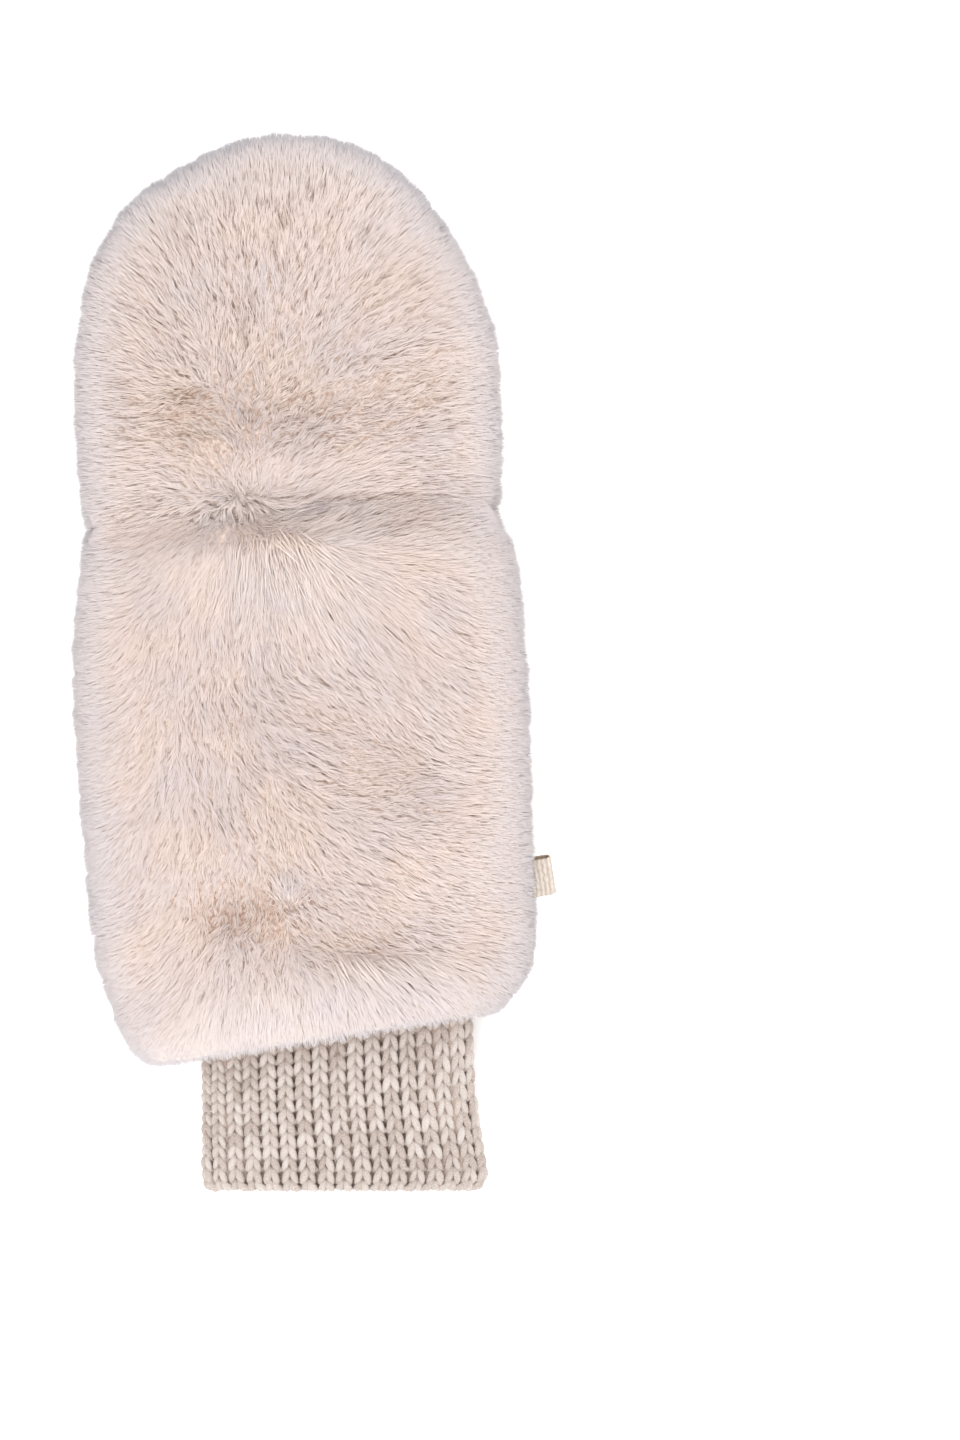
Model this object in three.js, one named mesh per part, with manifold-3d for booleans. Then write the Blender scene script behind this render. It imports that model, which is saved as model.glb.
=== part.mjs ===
// A fur mitten for the left hand, lying on a table with its back up and its thumb folded under the palm.
// It is sewn from three bags of long-piled fur cloth: a cap over the fingers, a hand part and a thumb.
// The cap and the hand part meet at a seam across the knuckles, where the pile parts. A ribbed knitted cuff
// is set into the wrist, and a folded ribbon tag stands out of the side seam.
// +Y points to the fingertips, +Z up from the back of the hand, and the table is at Z = 0. Millimetres.

import * as THREE from "three";
import { mergeVertices } from "three/addons/utils/BufferGeometryUtils.js";
import Module from "manifold-3d";

const wasm = await Module();
wasm.setup();

// Fur bags: overall sizes over the tips of the pile
const FUR_WIDTH = 119; // widest, across the hand
const HAND_LENGTH = 134.5; // wrist hem to knuckle seam, on the middle line
const CAP_LENGTH = 100; // knuckle seam to fingertip
const THICKNESS = 36; // from the table to the back, away from the thumb

// Walls, each of backing cloth and pile
const SIDE_WALL = 14;
const TIP_WALL = 14;
const BACK_WALL = 12;
const PALM_WALL = 7; // its pile is pressed down by the mitten's own weight

// Roundness of the bags
const BACK_SQUARENESS = 2.4; // power of the upper half's superellipse
const PALM_SQUARENESS = 2.9; // and of the lower half's
const EDGE_HEIGHT = 0.42; // share of the thickness at which a bag is widest
const PRESSED_FLAT = 0.14; // share of the lower half that the table presses flat

// Locks of pile on the outer faces
const LOCK_RISE = 2.2;
const LOCK_SWEEP = 0.275; // how far a lock's tip leans along the lay, as a share of the way between sections
const LOCK_SPLIT = 0.8; // how deep the fur is parted beside a lock, as a share of its rise
const LOCK_RINGS = 2; // rings of locks for each section
const FUR_SEGMENTS = 46;
const DENTS_FROM = 0.25; // height over a bag's edge, as a share of its upper half, where the dents begin
const DENTS_WHOLE = 0.9; // and where they reach their whole depth
const LOCKS_END = -0.45; // sine of the turn round a bag below which the locks flatten under its weight
const PRESSED_END = -0.8; // and below which there are none

// Thumb, folded under the palm
const THUMB_LENGTH = 76;
const THUMB_WIDTH = 42;
const THUMB_THICKNESS = 14;
const THUMB_SIDE_WALL = 8;
const THUMB_FLAT_WALL = 4.1;
const THUMB_ROOT_X = 30; // where its rounded root starts, from the middle line
const THUMB_ROOT_Y = 49; // and from the hem
const THUMB_LEAN = 7.5; // degrees, towards the palm
const THUMB_SEGMENTS = 26;
const MOUTH_WIDTH = 25; // the way from the palm into the thumb
const MOUTH_LENGTH = 23;
const MOUTH_FROM_ROOT = 22;
const DRAPE = 27; // how far round the thumb the palm takes to come down to the table
const PALM_GIVE = 3; // the palm's pile is this much thinner over the thumb
const BACK_RISE = 5; // the back stands this much higher over the thumb

// Knitted cuff
const CUFF_WIDTH = 73.8;
const CUFF_VISIBLE = 40.6; // from the hem's middle to the cuff's folded edge
const CUFF_SEAT = 12; // how far it goes into the hand part
const CUFF_THICKNESS = 17;
const CUFF_WALL = 4;
const CUFF_HEIGHT = 6.3; // its underside at the hem
const RIBS = 34;
const RIB_DEPTH = 1.3;

// Ribbon tag in the side seam
const TAG_WIDTH = 10.5; // along the seam
const TAG_OUT = 5.2; // how far the loop stands out of the pile
const TAG_ROOT = 11; // how far it goes into the pile
const TAG_RIBBON = 0.7;
const TAG_LOOP = 3.2; // height of the loop over both its layers
const TAG_FROM_HEM = 33.9;
const TAG_TURN = 9; // degrees, the loop points a little towards the fingertips
const TAG_RIDGES = 5;
const TAG_RIDGE_DEPTH = 0.2;

const GAP = 0.3; // between pieces that are sewn or lie together
const OVERCUT = 5; // how far a cutting form runs past the face that it opens

// Faces round the smooth forms that are cut out
const ROOM_SEGMENTS = 28; // for the palm and fingers
const THUMB_ROOM_SEGMENTS = 16;
const MOUTH_SEGMENTS = 20;
const CUFF_ROOM_SEGMENTS = 36;
const SEAT_SEGMENTS = 56; // close to the ribs that it goes round

// Sections of the hand part, from the hem to the knuckle seam. along is a share of HAND_LENGTH, left and right
// are shares of half of FUR_WIDTH from the middle line, top and bottom are shares of THICKNESS, slope is the
// rise in Y for each millimetre in X, and lock is the share of LOCK_RISE.
const HAND_SECTIONS = [
  { along: 0.012, left: 0.472, right: 0.77, top: 0.7, bottom: 0.15, slope: 0.155, lock: 0 },
  { along: -0.014, left: 0.592, right: 0.84, top: 0.84, bottom: 0.07, slope: 0.155, lock: 0.3 },
  { along: 0.006, left: 0.712, right: 0.901, top: 0.94, bottom: 0.02, slope: 0.155, lock: 0.8 },
  { along: 0.052, left: 0.787, right: 0.987, top: 0.99, bottom: 0, slope: 0.15, lock: 1 },
  { along: 0.116, left: 0.839, right: 1.012, top: 0.98, bottom: 0, slope: 0.14, lock: 1 },
  { along: 0.203, left: 0.902, right: 1.018, top: 0.97, bottom: 0, slope: 0.12, lock: 1 },
  { along: 0.338, left: 0.94, right: 1.005, top: 1, bottom: 0, slope: 0.08, lock: 1 },
  { along: 0.493, left: 0.97, right: 0.996, top: 1.01, bottom: 0, slope: 0.06, lock: 1 },
  { along: 0.667, left: 0.995, right: 0.983, top: 1.02, bottom: 0, slope: 0.05, lock: 1 },
  { along: 0.822, left: 0.992, right: 0.957, top: 1.03, bottom: 0, slope: 0.05, lock: 1 },
  { along: 0.919, left: 0.975, right: 0.927, top: 1, bottom: 0, slope: 0.05, lock: 0.9 },
  { along: 0.975, left: 0.954, right: 0.872, top: 0.9, bottom: 0, slope: 0.05, lock: 0.5 },
  { along: 1, left: 0.94, right: 0.845, top: 0.8, bottom: 0.02, slope: 0.05, lock: 0 },
];

// Sections of the cap, from the knuckle seam to the fingertip. along is a share of CAP_LENGTH.
const CAP_SECTIONS = [
  { along: 0, left: 0.94, right: 0.845, top: 0.8, bottom: 0.02, slope: 0.05, lock: 0 },
  { along: 0.045, left: 0.957, right: 0.867, top: 0.92, bottom: 0, slope: 0.045, lock: 0.7 },
  { along: 0.15, left: 0.979, right: 0.871, top: 1.02, bottom: 0, slope: 0.04, lock: 1 },
  { along: 0.305, left: 0.992, right: 0.862, top: 1, bottom: 0, slope: 0.03, lock: 1 },
  { along: 0.455, left: 0.988, right: 0.845, top: 0.98, bottom: 0, slope: 0.02, lock: 1 },
  { along: 0.65, left: 0.922, right: 0.734, top: 0.93, bottom: 0, slope: 0, lock: 1 },
  { along: 0.809, left: 0.769, right: 0.569, top: 0.85, bottom: 0.01, slope: 0, lock: 1 },
  { along: 0.891, left: 0.586, right: 0.446, top: 0.77, bottom: 0.05, slope: 0, lock: 1 },
  { along: 0.951, left: 0.407, right: 0.301, top: 0.67, bottom: 0.12, slope: 0, lock: 0.8 },
  { along: 0.987, left: 0.245, right: 0.127, top: 0.55, bottom: 0.22, slope: 0, lock: 0.5 },
  { along: 1, left: 0.1, right: -0.1, top: 0.38, bottom: 0.36, slope: 0, lock: 0 },
];

// Sections of the thumb, from its root to its tip. along is a share of THUMB_LENGTH, side is a share of half of
// THUMB_WIDTH, top and bottom are shares of THUMB_THICKNESS.
const THUMB_SECTIONS = [
  { along: 0, side: 0, top: 0.5, bottom: 0.5, lock: 0 },
  { along: 0.025, side: 0.4, top: 0.7, bottom: 0.2, lock: 0 },
  { along: 0.1, side: 0.74, top: 0.92, bottom: 0.03, lock: 0 },
  { along: 0.22, side: 0.94, top: 1, bottom: 0, lock: 0.7 },
  { along: 0.42, side: 1, top: 1, bottom: 0, lock: 0.7 },
  { along: 0.62, side: 0.97, top: 1, bottom: 0, lock: 0.7 },
  { along: 0.79, side: 0.87, top: 1, bottom: 0, lock: 0.7 },
  { along: 0.91, side: 0.68, top: 0.93, bottom: 0.03, lock: 0.7 },
  { along: 0.98, side: 0.37, top: 0.75, bottom: 0.18, lock: 0.4 },
  { along: 1, side: 0, top: 0.5, bottom: 0.5, lock: 0 },
];

// Sections of the cuff, from its folded edge to its sewn end. along is a share of its whole length, left and
// right are shares of CUFF_WIDTH from the middle line, thick is a share of CUFF_THICKNESS, height is a share of
// CUFF_HEIGHT and slope is as above.
const CUFF_SECTIONS = [
  { along: 0, left: 0.321, right: 0.599, thick: 0.8, height: 0.2, slope: 0 },
  { along: 0.035, left: 0.346, right: 0.638, thick: 0.96, height: 0.03, slope: 0 },
  { along: 0.1, left: 0.352, right: 0.648, thick: 1, height: 0, slope: 0 },
  { along: 0.25, left: 0.352, right: 0.63, thick: 1, height: 0.1, slope: 0.02 },
  { along: 0.45, left: 0.351, right: 0.607, thick: 1, height: 0.45, slope: 0.07 },
  { along: 0.75, left: 0.351, right: 0.599, thick: 1, height: 0.95, slope: 0.155 },
  { along: 1, left: 0.351, right: 0.599, thick: 1, height: 1, slope: 0.155 },
];

// Dents in the back, where the pile has been pressed or the cloth sags. x is a share of half of FUR_WIDTH from
// the middle line, along is a share of the whole fur length from the hem, long and wide are shares of FUR_WIDTH,
// turn is in degrees from +X and depth is a share of THICKNESS. A negative depth is a swelling.
const DENTS = [
  { x: -0.5, along: 0.685, long: 0.2, wide: 0.12, turn: 5, depth: 0.09 },
  { x: -0.05, along: 0.645, long: 0.55, wide: 0.1, turn: 4, depth: 0.05 },
  { x: 0.42, along: 0.3, long: 0.34, wide: 0.13, turn: -35, depth: 0.12 },
  { x: 0.25, along: 0.1, long: 0.42, wide: 0.11, turn: -6, depth: 0.1 },
  { x: -0.35, along: 0.13, long: 0.22, wide: 0.12, turn: 20, depth: 0.06 },
  { x: 0.12, along: 0.44, long: 0.35, wide: 0.16, turn: -30, depth: -0.06 },
];

const HALF_FUR = FUR_WIDTH / 2;
const CUFF_LENGTH = CUFF_VISIBLE + CUFF_SEAT;
const HAND_START = 0; // the hem's Y, on the middle line
const CAP_START = HAND_LENGTH + GAP / 2;
const degrees = Math.PI / 180;

// Sections and rings

// A row of a table at a place between its rows: every column follows one smooth curve.
function between(rows, place) {
  const last = rows.length - 1;
  const i = Math.min(Math.floor(place), last - 1);
  const t = place - i;
  const near = (k) => rows[THREE.MathUtils.clamp(k, 0, last)];
  const row = {};
  for (const column of Object.keys(rows[0])) {
    const [a, b, c, d] = [near(i - 1), near(i), near(i + 1), near(i + 2)].map((r) => r[column]);
    row[column] = b + 0.5 * t * (c - a + t * (2 * a - 5 * b + 4 * c - d + t * (3 * (b - c) + d - a)));
  }
  return row;
}

// The row of a table where its along column reaches a share, with the other columns in straight lines.
function rowAlong(rows, share) {
  const next = rows.findIndex((row) => row.along > share && row !== rows[0]);
  const [a, b] = [rows[next - 1], rows[next]];
  const t = (share - a.along) / (b.along - a.along);
  return Object.fromEntries(Object.keys(a).map((column) => [column, a[column] + t * (b[column] - a[column])]));
}

// A point of a flattened bag's section. turn goes from 0 to 1 round it, starting at the right-hand edge and
// rising over the back. lower and upper give its two faces in Z at a place of the plan.
function sectionPoint({ y, left, right, slope, lower, upper }, turn) {
  const c = Math.cos(turn * 2 * Math.PI);
  const s = Math.sin(turn * 2 * Math.PI);
  const power = 2 / (s > 0 ? BACK_SQUARENESS : PALM_SQUARENESS);
  const x = (right - left) / 2 + ((right + left) / 2) * Math.sign(c) * Math.abs(c) ** power;
  const rise = Math.sign(s) * Math.abs(s) ** power;
  const yHere = y + slope * x;
  const [low, high] = [lower(x, yHere), upper(x, yHere, Math.max(rise, 0))];
  const widest = low + EDGE_HEIGHT * (high - low);
  const z = rise > 0
    ? widest + (high - widest) * rise
    : widest + (widest - low) * Math.max(rise / (1 - PRESSED_FLAT), -1);
  return new THREE.Vector3(x, yHere, z);
}

// turn values that space a section's points evenly round it, the first at the right-hand edge.
function evenTurns(section, count) {
  const steps = count * 6;
  const lengths = [0];
  let before = sectionPoint(section, 0);
  for (let i = 1; i <= steps; i++) {
    const point = sectionPoint(section, i / steps);
    lengths.push(lengths[i - 1] + point.distanceTo(before));
    before = point;
  }
  const turns = [];
  let i = 0;
  for (let k = 0; k < count; k++) {
    const wanted = (lengths[steps] * k) / count;
    while (lengths[i + 1] < wanted) i++;
    turns.push((i + (wanted - lengths[i]) / (lengths[i + 1] - lengths[i])) / steps);
  }
  return turns;
}

const isPole = (section) => section.left + section.right < GAP;

function evenRing(section, count) {
  if (isPole(section)) return [sectionPoint(section, 0)];
  return evenTurns(section, count).map((turn) => sectionPoint(section, turn));
}

const middleOf = (ring) =>
  ring.reduce((sum, p) => sum.add(p), new THREE.Vector3()).divideScalar(ring.length);

// A closed geometry through rings of equal count. A ring of one point is a pole. Faces point out when the rings
// run towards +Y and each turns from +X over +Z.
function loft(rings) {
  const closed = [[middleOf(rings[0])], ...rings, [middleOf(rings[rings.length - 1])]];
  const positions = [];
  const starts = [];
  for (const ring of closed) {
    starts.push(positions.length / 3);
    ring.forEach((p) => positions.push(p.x, p.y, p.z));
  }
  const faces = [];
  for (let r = 0; r + 1 < closed.length; r++) {
    const [here, next] = [closed[r].length, closed[r + 1].length];
    if (here + next === 2) continue;
    for (let k = 0; k < Math.max(here, next); k++) {
      const a = starts[r] + (here > 1 ? k : 0);
      const b = starts[r] + (here > 1 ? (k + 1) % here : 0);
      const c = starts[r + 1] + (next > 1 ? k : 0);
      const d = starts[r + 1] + (next > 1 ? (k + 1) % next : 0);
      if (here === 1) faces.push(a, c, d);
      else if (next === 1) faces.push(a, c, b);
      else if ((r + k) % 2) faces.push(a, c, b, b, c, d);
      else faces.push(a, c, d, a, d, b);
    }
  }
  const geometry = new THREE.BufferGeometry();
  geometry.setAttribute("position", new THREE.Float32BufferAttribute(positions, 3));
  geometry.setIndex(faces);
  return geometry;
}

// Solids for cutting

function solidOf(geometry) {
  const bare = geometry.clone();
  bare.deleteAttribute("normal");
  bare.deleteAttribute("uv");
  const merged = mergeVertices(bare, 1e-4);
  const vertProperties = merged.attributes.position.array;
  const triVerts = new Uint32Array(merged.index.array);
  return new wasm.Manifold(new wasm.Mesh({ numProp: 3, vertProperties, triVerts }));
}

function geometryOf(solid) {
  const mesh = solid.getMesh();
  const positions = new Float32Array(mesh.numVert * 3);
  for (let i = 0; i < mesh.numVert; i++) {
    const start = i * mesh.numProp;
    positions.set(mesh.vertProperties.subarray(start, start + 3), i * 3);
  }
  const geometry = new THREE.BufferGeometry();
  geometry.setAttribute("position", new THREE.BufferAttribute(positions, 3));
  geometry.setIndex(new THREE.BufferAttribute(mesh.triVerts, 1));
  return geometry;
}

// The thumb's own frame: from its root on the palm, across it and along it to its tip.
const thumbRoot = new THREE.Vector2(THUMB_ROOT_X, THUMB_ROOT_Y);
const thumbWay = new THREE.Vector2(-Math.sin(THUMB_LEAN * degrees), Math.cos(THUMB_LEAN * degrees));

function thumbPlace(across, along, z) {
  const x = thumbRoot.x + thumbWay.x * along + thumbWay.y * across;
  const y = thumbRoot.y + thumbWay.y * along - thumbWay.x * across;
  return new THREE.Vector3(x, y, z);
}

const toThumbFrame = (ring) => ring.map((p) => thumbPlace(p.x, p.y, p.z));

// 1 where the thumb lies under the palm, falling smoothly to 0 at DRAPE from its outline.
function overThumb(x, y) {
  const reach = THUMB_WIDTH / 2;
  const from = new THREE.Vector2(x, y).sub(thumbRoot);
  const along = THREE.MathUtils.clamp(from.dot(thumbWay), reach, THUMB_LENGTH - reach);
  const distance = from.sub(thumbWay.clone().multiplyScalar(along)).length();
  return 1 - THREE.MathUtils.smoothstep(distance, reach, reach + DRAPE);
}

// How deep the dents are at a place of the back.
function dentDepth(x, y) {
  let depth = 0;
  for (const dent of DENTS) {
    const from = new THREE.Vector2(x - dent.x * HALF_FUR, y - dent.along * (HAND_LENGTH + CAP_LENGTH));
    from.rotateAround(new THREE.Vector2(), -dent.turn * degrees);
    const u = (2 * from.x) / (dent.long * FUR_WIDTH);
    const v = (2 * from.y) / (dent.wide * FUR_WIDTH);
    depth += dent.depth * THICKNESS * Math.exp(-(u * u + v * v));
  }
  return depth;
}

// Fur

// The section of a bag of fur over the tips of its pile: its palm lies over the thumb, and its back has dents.
function furSection(row, length, start) {
  const dents = (rise) => THREE.MathUtils.smoothstep(rise, DENTS_FROM, DENTS_WHOLE);
  return {
    y: start + row.along * length,
    left: row.left * HALF_FUR,
    right: row.right * HALF_FUR,
    slope: row.slope,
    lower: (x, y) => row.bottom * THICKNESS + (THUMB_THICKNESS + GAP) * overThumb(x, y),
    upper: (x, y, rise) =>
      row.top * THICKNESS + BACK_RISE * overThumb(x, y) - dentDepth(x, y) * dents(rise),
  };
}

function thumbSection(row) {
  return {
    y: row.along * THUMB_LENGTH,
    left: (row.side * THUMB_WIDTH) / 2,
    right: (row.side * THUMB_WIDTH) / 2,
    slope: 0,
    lower: () => row.bottom * THUMB_THICKNESS,
    upper: () => row.top * THUMB_THICKNESS,
  };
}

// The outward direction of a bag's face, from two small steps along and round it.
function outwards(sections, sectionAt, place, turn) {
  const step = 0.01;
  const last = sections.length - 1;
  const at = (p, t) => sectionPoint(sectionAt(between(sections, THREE.MathUtils.clamp(p, 0, last))), t);
  const along = at(place + 2 * step, turn).sub(at(place - 2 * step, turn));
  const round = at(place, turn + step).sub(at(place, turn - step));
  return along.cross(round).normalize();
}

// How much taller or shorter a lock is than its neighbours, as two waves that never fall in step.
const lockVariety = (ring, k) =>
  0.21 * Math.sin(2.3 * ring + 1.7 * k) + 0.15 * Math.sin(0.9 * ring - 2.9 * k);

// The outer face of a bag of fur as rings of locks. Every other point is a lock's tip, which leans along the
// lay, towards a later section (+1) or an earlier one (-1), and the points between part the fur beside it.
function furRings(sections, sectionAt, segments, lay) {
  const last = sections.length - 1;
  const rings = [];
  for (let r = 0; r <= last * LOCK_RINGS; r++) {
    const place = r / LOCK_RINGS;
    const row = between(sections, place);
    const section = sectionAt(row);
    if (isPole(section) || row.lock <= 0) {
      rings.push(evenRing(section, segments));
      continue;
    }
    const tipPlace = THREE.MathUtils.clamp(place + lay * LOCK_SWEEP, 0, last);
    const tips = sectionAt(between(sections, tipPlace));
    rings.push(evenTurns(section, segments).map((turn, k) => {
      const free = THREE.MathUtils.smoothstep(Math.sin(turn * 2 * Math.PI), PRESSED_END, LOCKS_END);
      const rise = LOCK_RISE * row.lock * free;
      const out = outwards(sections, sectionAt, place, turn);
      const point = sectionPoint(section, turn);
      if ((r + k) % 2) return point.addScaledVector(out, -rise * LOCK_SPLIT);
      point.lerp(sectionPoint(tips, turn), free * Math.min(row.lock, 1));
      return point.addScaledVector(out, rise * lockVariety(r, k));
    }));
  }
  return rings.map((ring) => ring.map((p) => p.setZ(Math.max(p.z, 0))));
}

function furBag(sections, length, start, lay) {
  const sectionAt = (row) => furSection(row, length, start);
  return solidOf(loft(furRings(sections, sectionAt, FUR_SEGMENTS, lay)));
}

// The room for the palm and fingers, which starts as a neck as wide as the cuff's hollow. It leaves out the
// sections at the ends of the two bags, where their walls meet.
function furHollow() {
  const keep = (HALF_FUR - SIDE_WALL) / HALF_FUR;
  const room = (row, y) => ({
    y,
    left: row.left * keep * HALF_FUR,
    right: row.right * keep * HALF_FUR,
    slope: row.slope,
    lower: (x, yHere) =>
      PALM_WALL + row.bottom * THICKNESS + (THUMB_THICKNESS + GAP - PALM_GIVE) * overThumb(x, yHere),
    upper: (x, yHere) => Math.min(row.top, 1) * THICKNESS - BACK_WALL + BACK_RISE * overThumb(x, yHere),
  });
  const neck = (y) => ({ ...cuffSection(cuffEnd, -CUFF_WALL), y });
  const reach = CAP_LENGTH - TIP_WALL;
  const rings = [
    neck(CUFF_SEAT / 2),
    neck(CUFF_SEAT + CUFF_WALL),
    ...HAND_SECTIONS.slice(5, -2).map((row) => room(row, row.along * HAND_LENGTH)),
    ...CAP_SECTIONS.slice(2, -3).map((row) => room(row, HAND_LENGTH + row.along * reach)),
  ].map((section) => evenRing(section, ROOM_SEGMENTS));
  const tip = middleOf(rings[rings.length - 1]).setY(HAND_LENGTH + reach);
  return solidOf(loft([...rings, [tip]]));
}

// Thumb

function thumbHollow() {
  const shrink = (THUMB_THICKNESS - 2 * THUMB_FLAT_WALL) / THUMB_THICKNESS;
  const sections = THUMB_SECTIONS.map((row) => {
    const { lower, upper } = thumbSection(row);
    const side = (row.side * (THUMB_WIDTH - 2 * THUMB_SIDE_WALL)) / 2;
    return {
      y: THUMB_SIDE_WALL + row.along * (THUMB_LENGTH - 2 * THUMB_SIDE_WALL),
      left: side,
      right: side,
      slope: 0,
      lower: () => THUMB_FLAT_WALL + lower() * shrink,
      upper: () => THUMB_FLAT_WALL + upper() * shrink,
    };
  });
  return solidOf(loft(sections.map((section) => toThumbFrame(evenRing(section, THUMB_ROOM_SEGMENTS)))));
}

// The way through the palm into the thumb: an upright oval prism between the middles of the two hollows.
function thumbMouth() {
  const low = THUMB_THICKNESS / 2;
  const high = THUMB_THICKNESS + PALM_WALL + OVERCUT;
  const prism = new THREE.CylinderGeometry(0.5, 0.5, high - low, MOUTH_SEGMENTS);
  prism.rotateX(Math.PI / 2);
  prism.scale(MOUTH_WIDTH, MOUTH_LENGTH, 1);
  prism.rotateZ(THUMB_LEAN * degrees);
  const { x, y, z } = thumbPlace(0, MOUTH_FROM_ROOT, (low + high) / 2);
  return solidOf(prism.translate(x, y, z));
}

// Knitted cuff

const cuffEnd = CUFF_SECTIONS[CUFF_SECTIONS.length - 1];

// The cuff's section at a row, grown outwards on every side by grow.
function cuffSection(row, grow) {
  const height = row.height * CUFF_HEIGHT;
  const thinner = CUFF_THICKNESS * (1 - row.thick);
  return {
    y: -CUFF_VISIBLE + row.along * CUFF_LENGTH,
    left: row.left * CUFF_WIDTH + grow,
    right: row.right * CUFF_WIDTH + grow,
    slope: row.slope,
    lower: () => height + thinner / 4 - grow,
    upper: () => height + CUFF_THICKNESS - thinner / 2 + grow,
  };
}

// Its outside: three points for each rib, with a sharp groove between round ribs, and closer rings where the
// edge is folded.
function cuffOutside() {
  const profile = [-RIB_DEPTH, 0, 0];
  const places = [0, 0.5, 1, 1.5, 2, 3, 4, 5, 6];
  const rings = places.map((place) => {
    const row = between(CUFF_SECTIONS, place);
    const turns = evenTurns(cuffSection(row, 0), RIBS * profile.length);
    return turns.map((turn, k) => sectionPoint(cuffSection(row, profile[k % profile.length]), turn));
  });
  return solidOf(loft(rings.map((ring) => ring.map((p) => p.setZ(Math.max(p.z, 0))))));
}

function cuffHollow() {
  const past = OVERCUT / CUFF_LENGTH;
  const rows = [
    { ...CUFF_SECTIONS[1], along: -past },
    ...CUFF_SECTIONS.slice(1),
    { ...cuffEnd, along: 1 + past },
  ];
  return solidOf(loft(rows.map((row) => evenRing(cuffSection(row, -CUFF_WALL), CUFF_ROOM_SEGMENTS))));
}

// The seat that the hand part has for the cuff, from well outside the slanted hem to the cuff's end.
function cuffSeat() {
  const outside = -FUR_WIDTH / 4;
  const places = [outside, CUFF_SEAT + GAP].map((y) => (y + CUFF_VISIBLE) / CUFF_LENGTH);
  const rows = places.map((along) => ({ ...cuffEnd, along }));
  return solidOf(loft(rows.map((row) => evenRing(cuffSection(row, GAP), SEAT_SEGMENTS))));
}

// Ribbon tag

const tagRow = rowAlong(HAND_SECTIONS, TAG_FROM_HEM / HAND_LENGTH);
const tagPlace = sectionPoint({ ...furSection(tagRow, HAND_LENGTH, HAND_START), slope: 0 }, 0);
const tagStraight = TAG_ROOT + TAG_OUT - TAG_LOOP / 2; // the two flat layers, up to the loop's round end

// Lays a geometry that is drawn in X and Y, with its width along Z, so that its width runs along the side seam.
function placeTag(geometry) {
  geometry.translate(0, 0, -TAG_WIDTH / 2);
  geometry.rotateX(Math.PI / 2);
  geometry.rotateZ(TAG_TURN * degrees);
  return geometry.translate(tagPlace.x - TAG_ROOT, tagPlace.y, tagPlace.z);
}

// A strip folded into a loop, with ridges across the outer half of each layer.
function ribbonTag() {
  const outer = TAG_LOOP / 2;
  const inner = outer - TAG_RIBBON;
  const pitch = tagStraight / (2 * TAG_RIDGES);
  const shape = new THREE.Shape();
  shape.moveTo(0, -outer);
  for (let i = TAG_RIDGES; i < 2 * TAG_RIDGES; i++) {
    shape.lineTo(pitch * i, -outer);
    shape.lineTo(pitch * (i + 0.5), -outer + TAG_RIDGE_DEPTH);
  }
  shape.lineTo(tagStraight, -outer);
  shape.absarc(tagStraight, 0, outer, -Math.PI / 2, Math.PI / 2, false);
  for (let i = 2 * TAG_RIDGES - 1; i >= TAG_RIDGES; i--) {
    shape.lineTo(pitch * (i + 0.5), outer - TAG_RIDGE_DEPTH);
    shape.lineTo(pitch * i, outer);
  }
  shape.lineTo(0, outer);
  shape.lineTo(0, inner);
  shape.lineTo(tagStraight, inner);
  shape.absarc(tagStraight, 0, inner, Math.PI / 2, -Math.PI / 2, true);
  shape.lineTo(0, -inner);
  shape.closePath();
  const strip = new THREE.ExtrudeGeometry(shape, { depth: TAG_WIDTH, bevelEnabled: false, curveSegments: 8 });
  return placeTag(strip);
}

// The slot that the pile leaves for the tag.
function tagSlot() {
  const length = TAG_ROOT + TAG_OUT + OVERCUT;
  const slot = new THREE.BoxGeometry(length + GAP, TAG_LOOP + 2 * GAP, TAG_WIDTH + 2 * GAP);
  slot.translate((length - GAP) / 2, 0, TAG_WIDTH / 2);
  return solidOf(placeTag(slot));
}

// Assembly

const room = furHollow();
const mouth = thumbMouth();
const hand = furBag(HAND_SECTIONS, HAND_LENGTH - GAP / 2, HAND_START, -1)
  .subtract(room)
  .subtract(cuffSeat())
  .subtract(mouth)
  .subtract(tagSlot());
const cap = furBag(CAP_SECTIONS, CAP_LENGTH, CAP_START, 1).subtract(room);
const thumbOutside = furRings(THUMB_SECTIONS, thumbSection, THUMB_SEGMENTS, 1).map(toThumbFrame);
const thumb = solidOf(loft(thumbOutside)).subtract(thumbHollow()).subtract(mouth);
const cuff = cuffOutside().subtract(cuffHollow());

const fur = new THREE.MeshStandardMaterial({ color: 0xe2d3ca, roughness: 0.95, metalness: 0 });
const knit = new THREE.MeshStandardMaterial({ color: 0xcdbeb6, roughness: 0.9, metalness: 0 });
const ribbon = new THREE.MeshStandardMaterial({ color: 0xe9e1d6, roughness: 0.7, metalness: 0 });

const mitten = new THREE.Group();

function addPiece(name, geometry, material) {
  const mesh = new THREE.Mesh(geometry, material);
  mesh.name = name;
  mitten.add(mesh);
}

addPiece("fur_cap", geometryOf(cap), fur);
addPiece("fur_hand", geometryOf(hand), fur);
addPiece("fur_thumb", geometryOf(thumb), fur);
addPiece("knit_cuff", geometryOf(cuff), knit);
addPiece("ribbon_tag", ribbonTag(), ribbon);

// The origin is on the table, under the middle of the whole mitten.
const box = new THREE.Box3().setFromObject(mitten);
const middle = box.getCenter(new THREE.Vector3());
mitten.children.forEach((mesh) => mesh.position.set(-middle.x, -middle.y, -box.min.z));

export default mitten;
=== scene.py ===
# %% [markdown]
# # A fur mitten, dressed over its solid frame
# The solids of the mitten come in first and stay fixed: they say where each piece is and how big it is.
# Over them this lesson combs a long-piled faux fur hair by hair, knits a ribbed cuff stitch by stitch
# and folds a little ribbon tag. Working over a fixed frame keeps every piece in its true place, with no
# fitting by eye.

import math
from itertools import product

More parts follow.
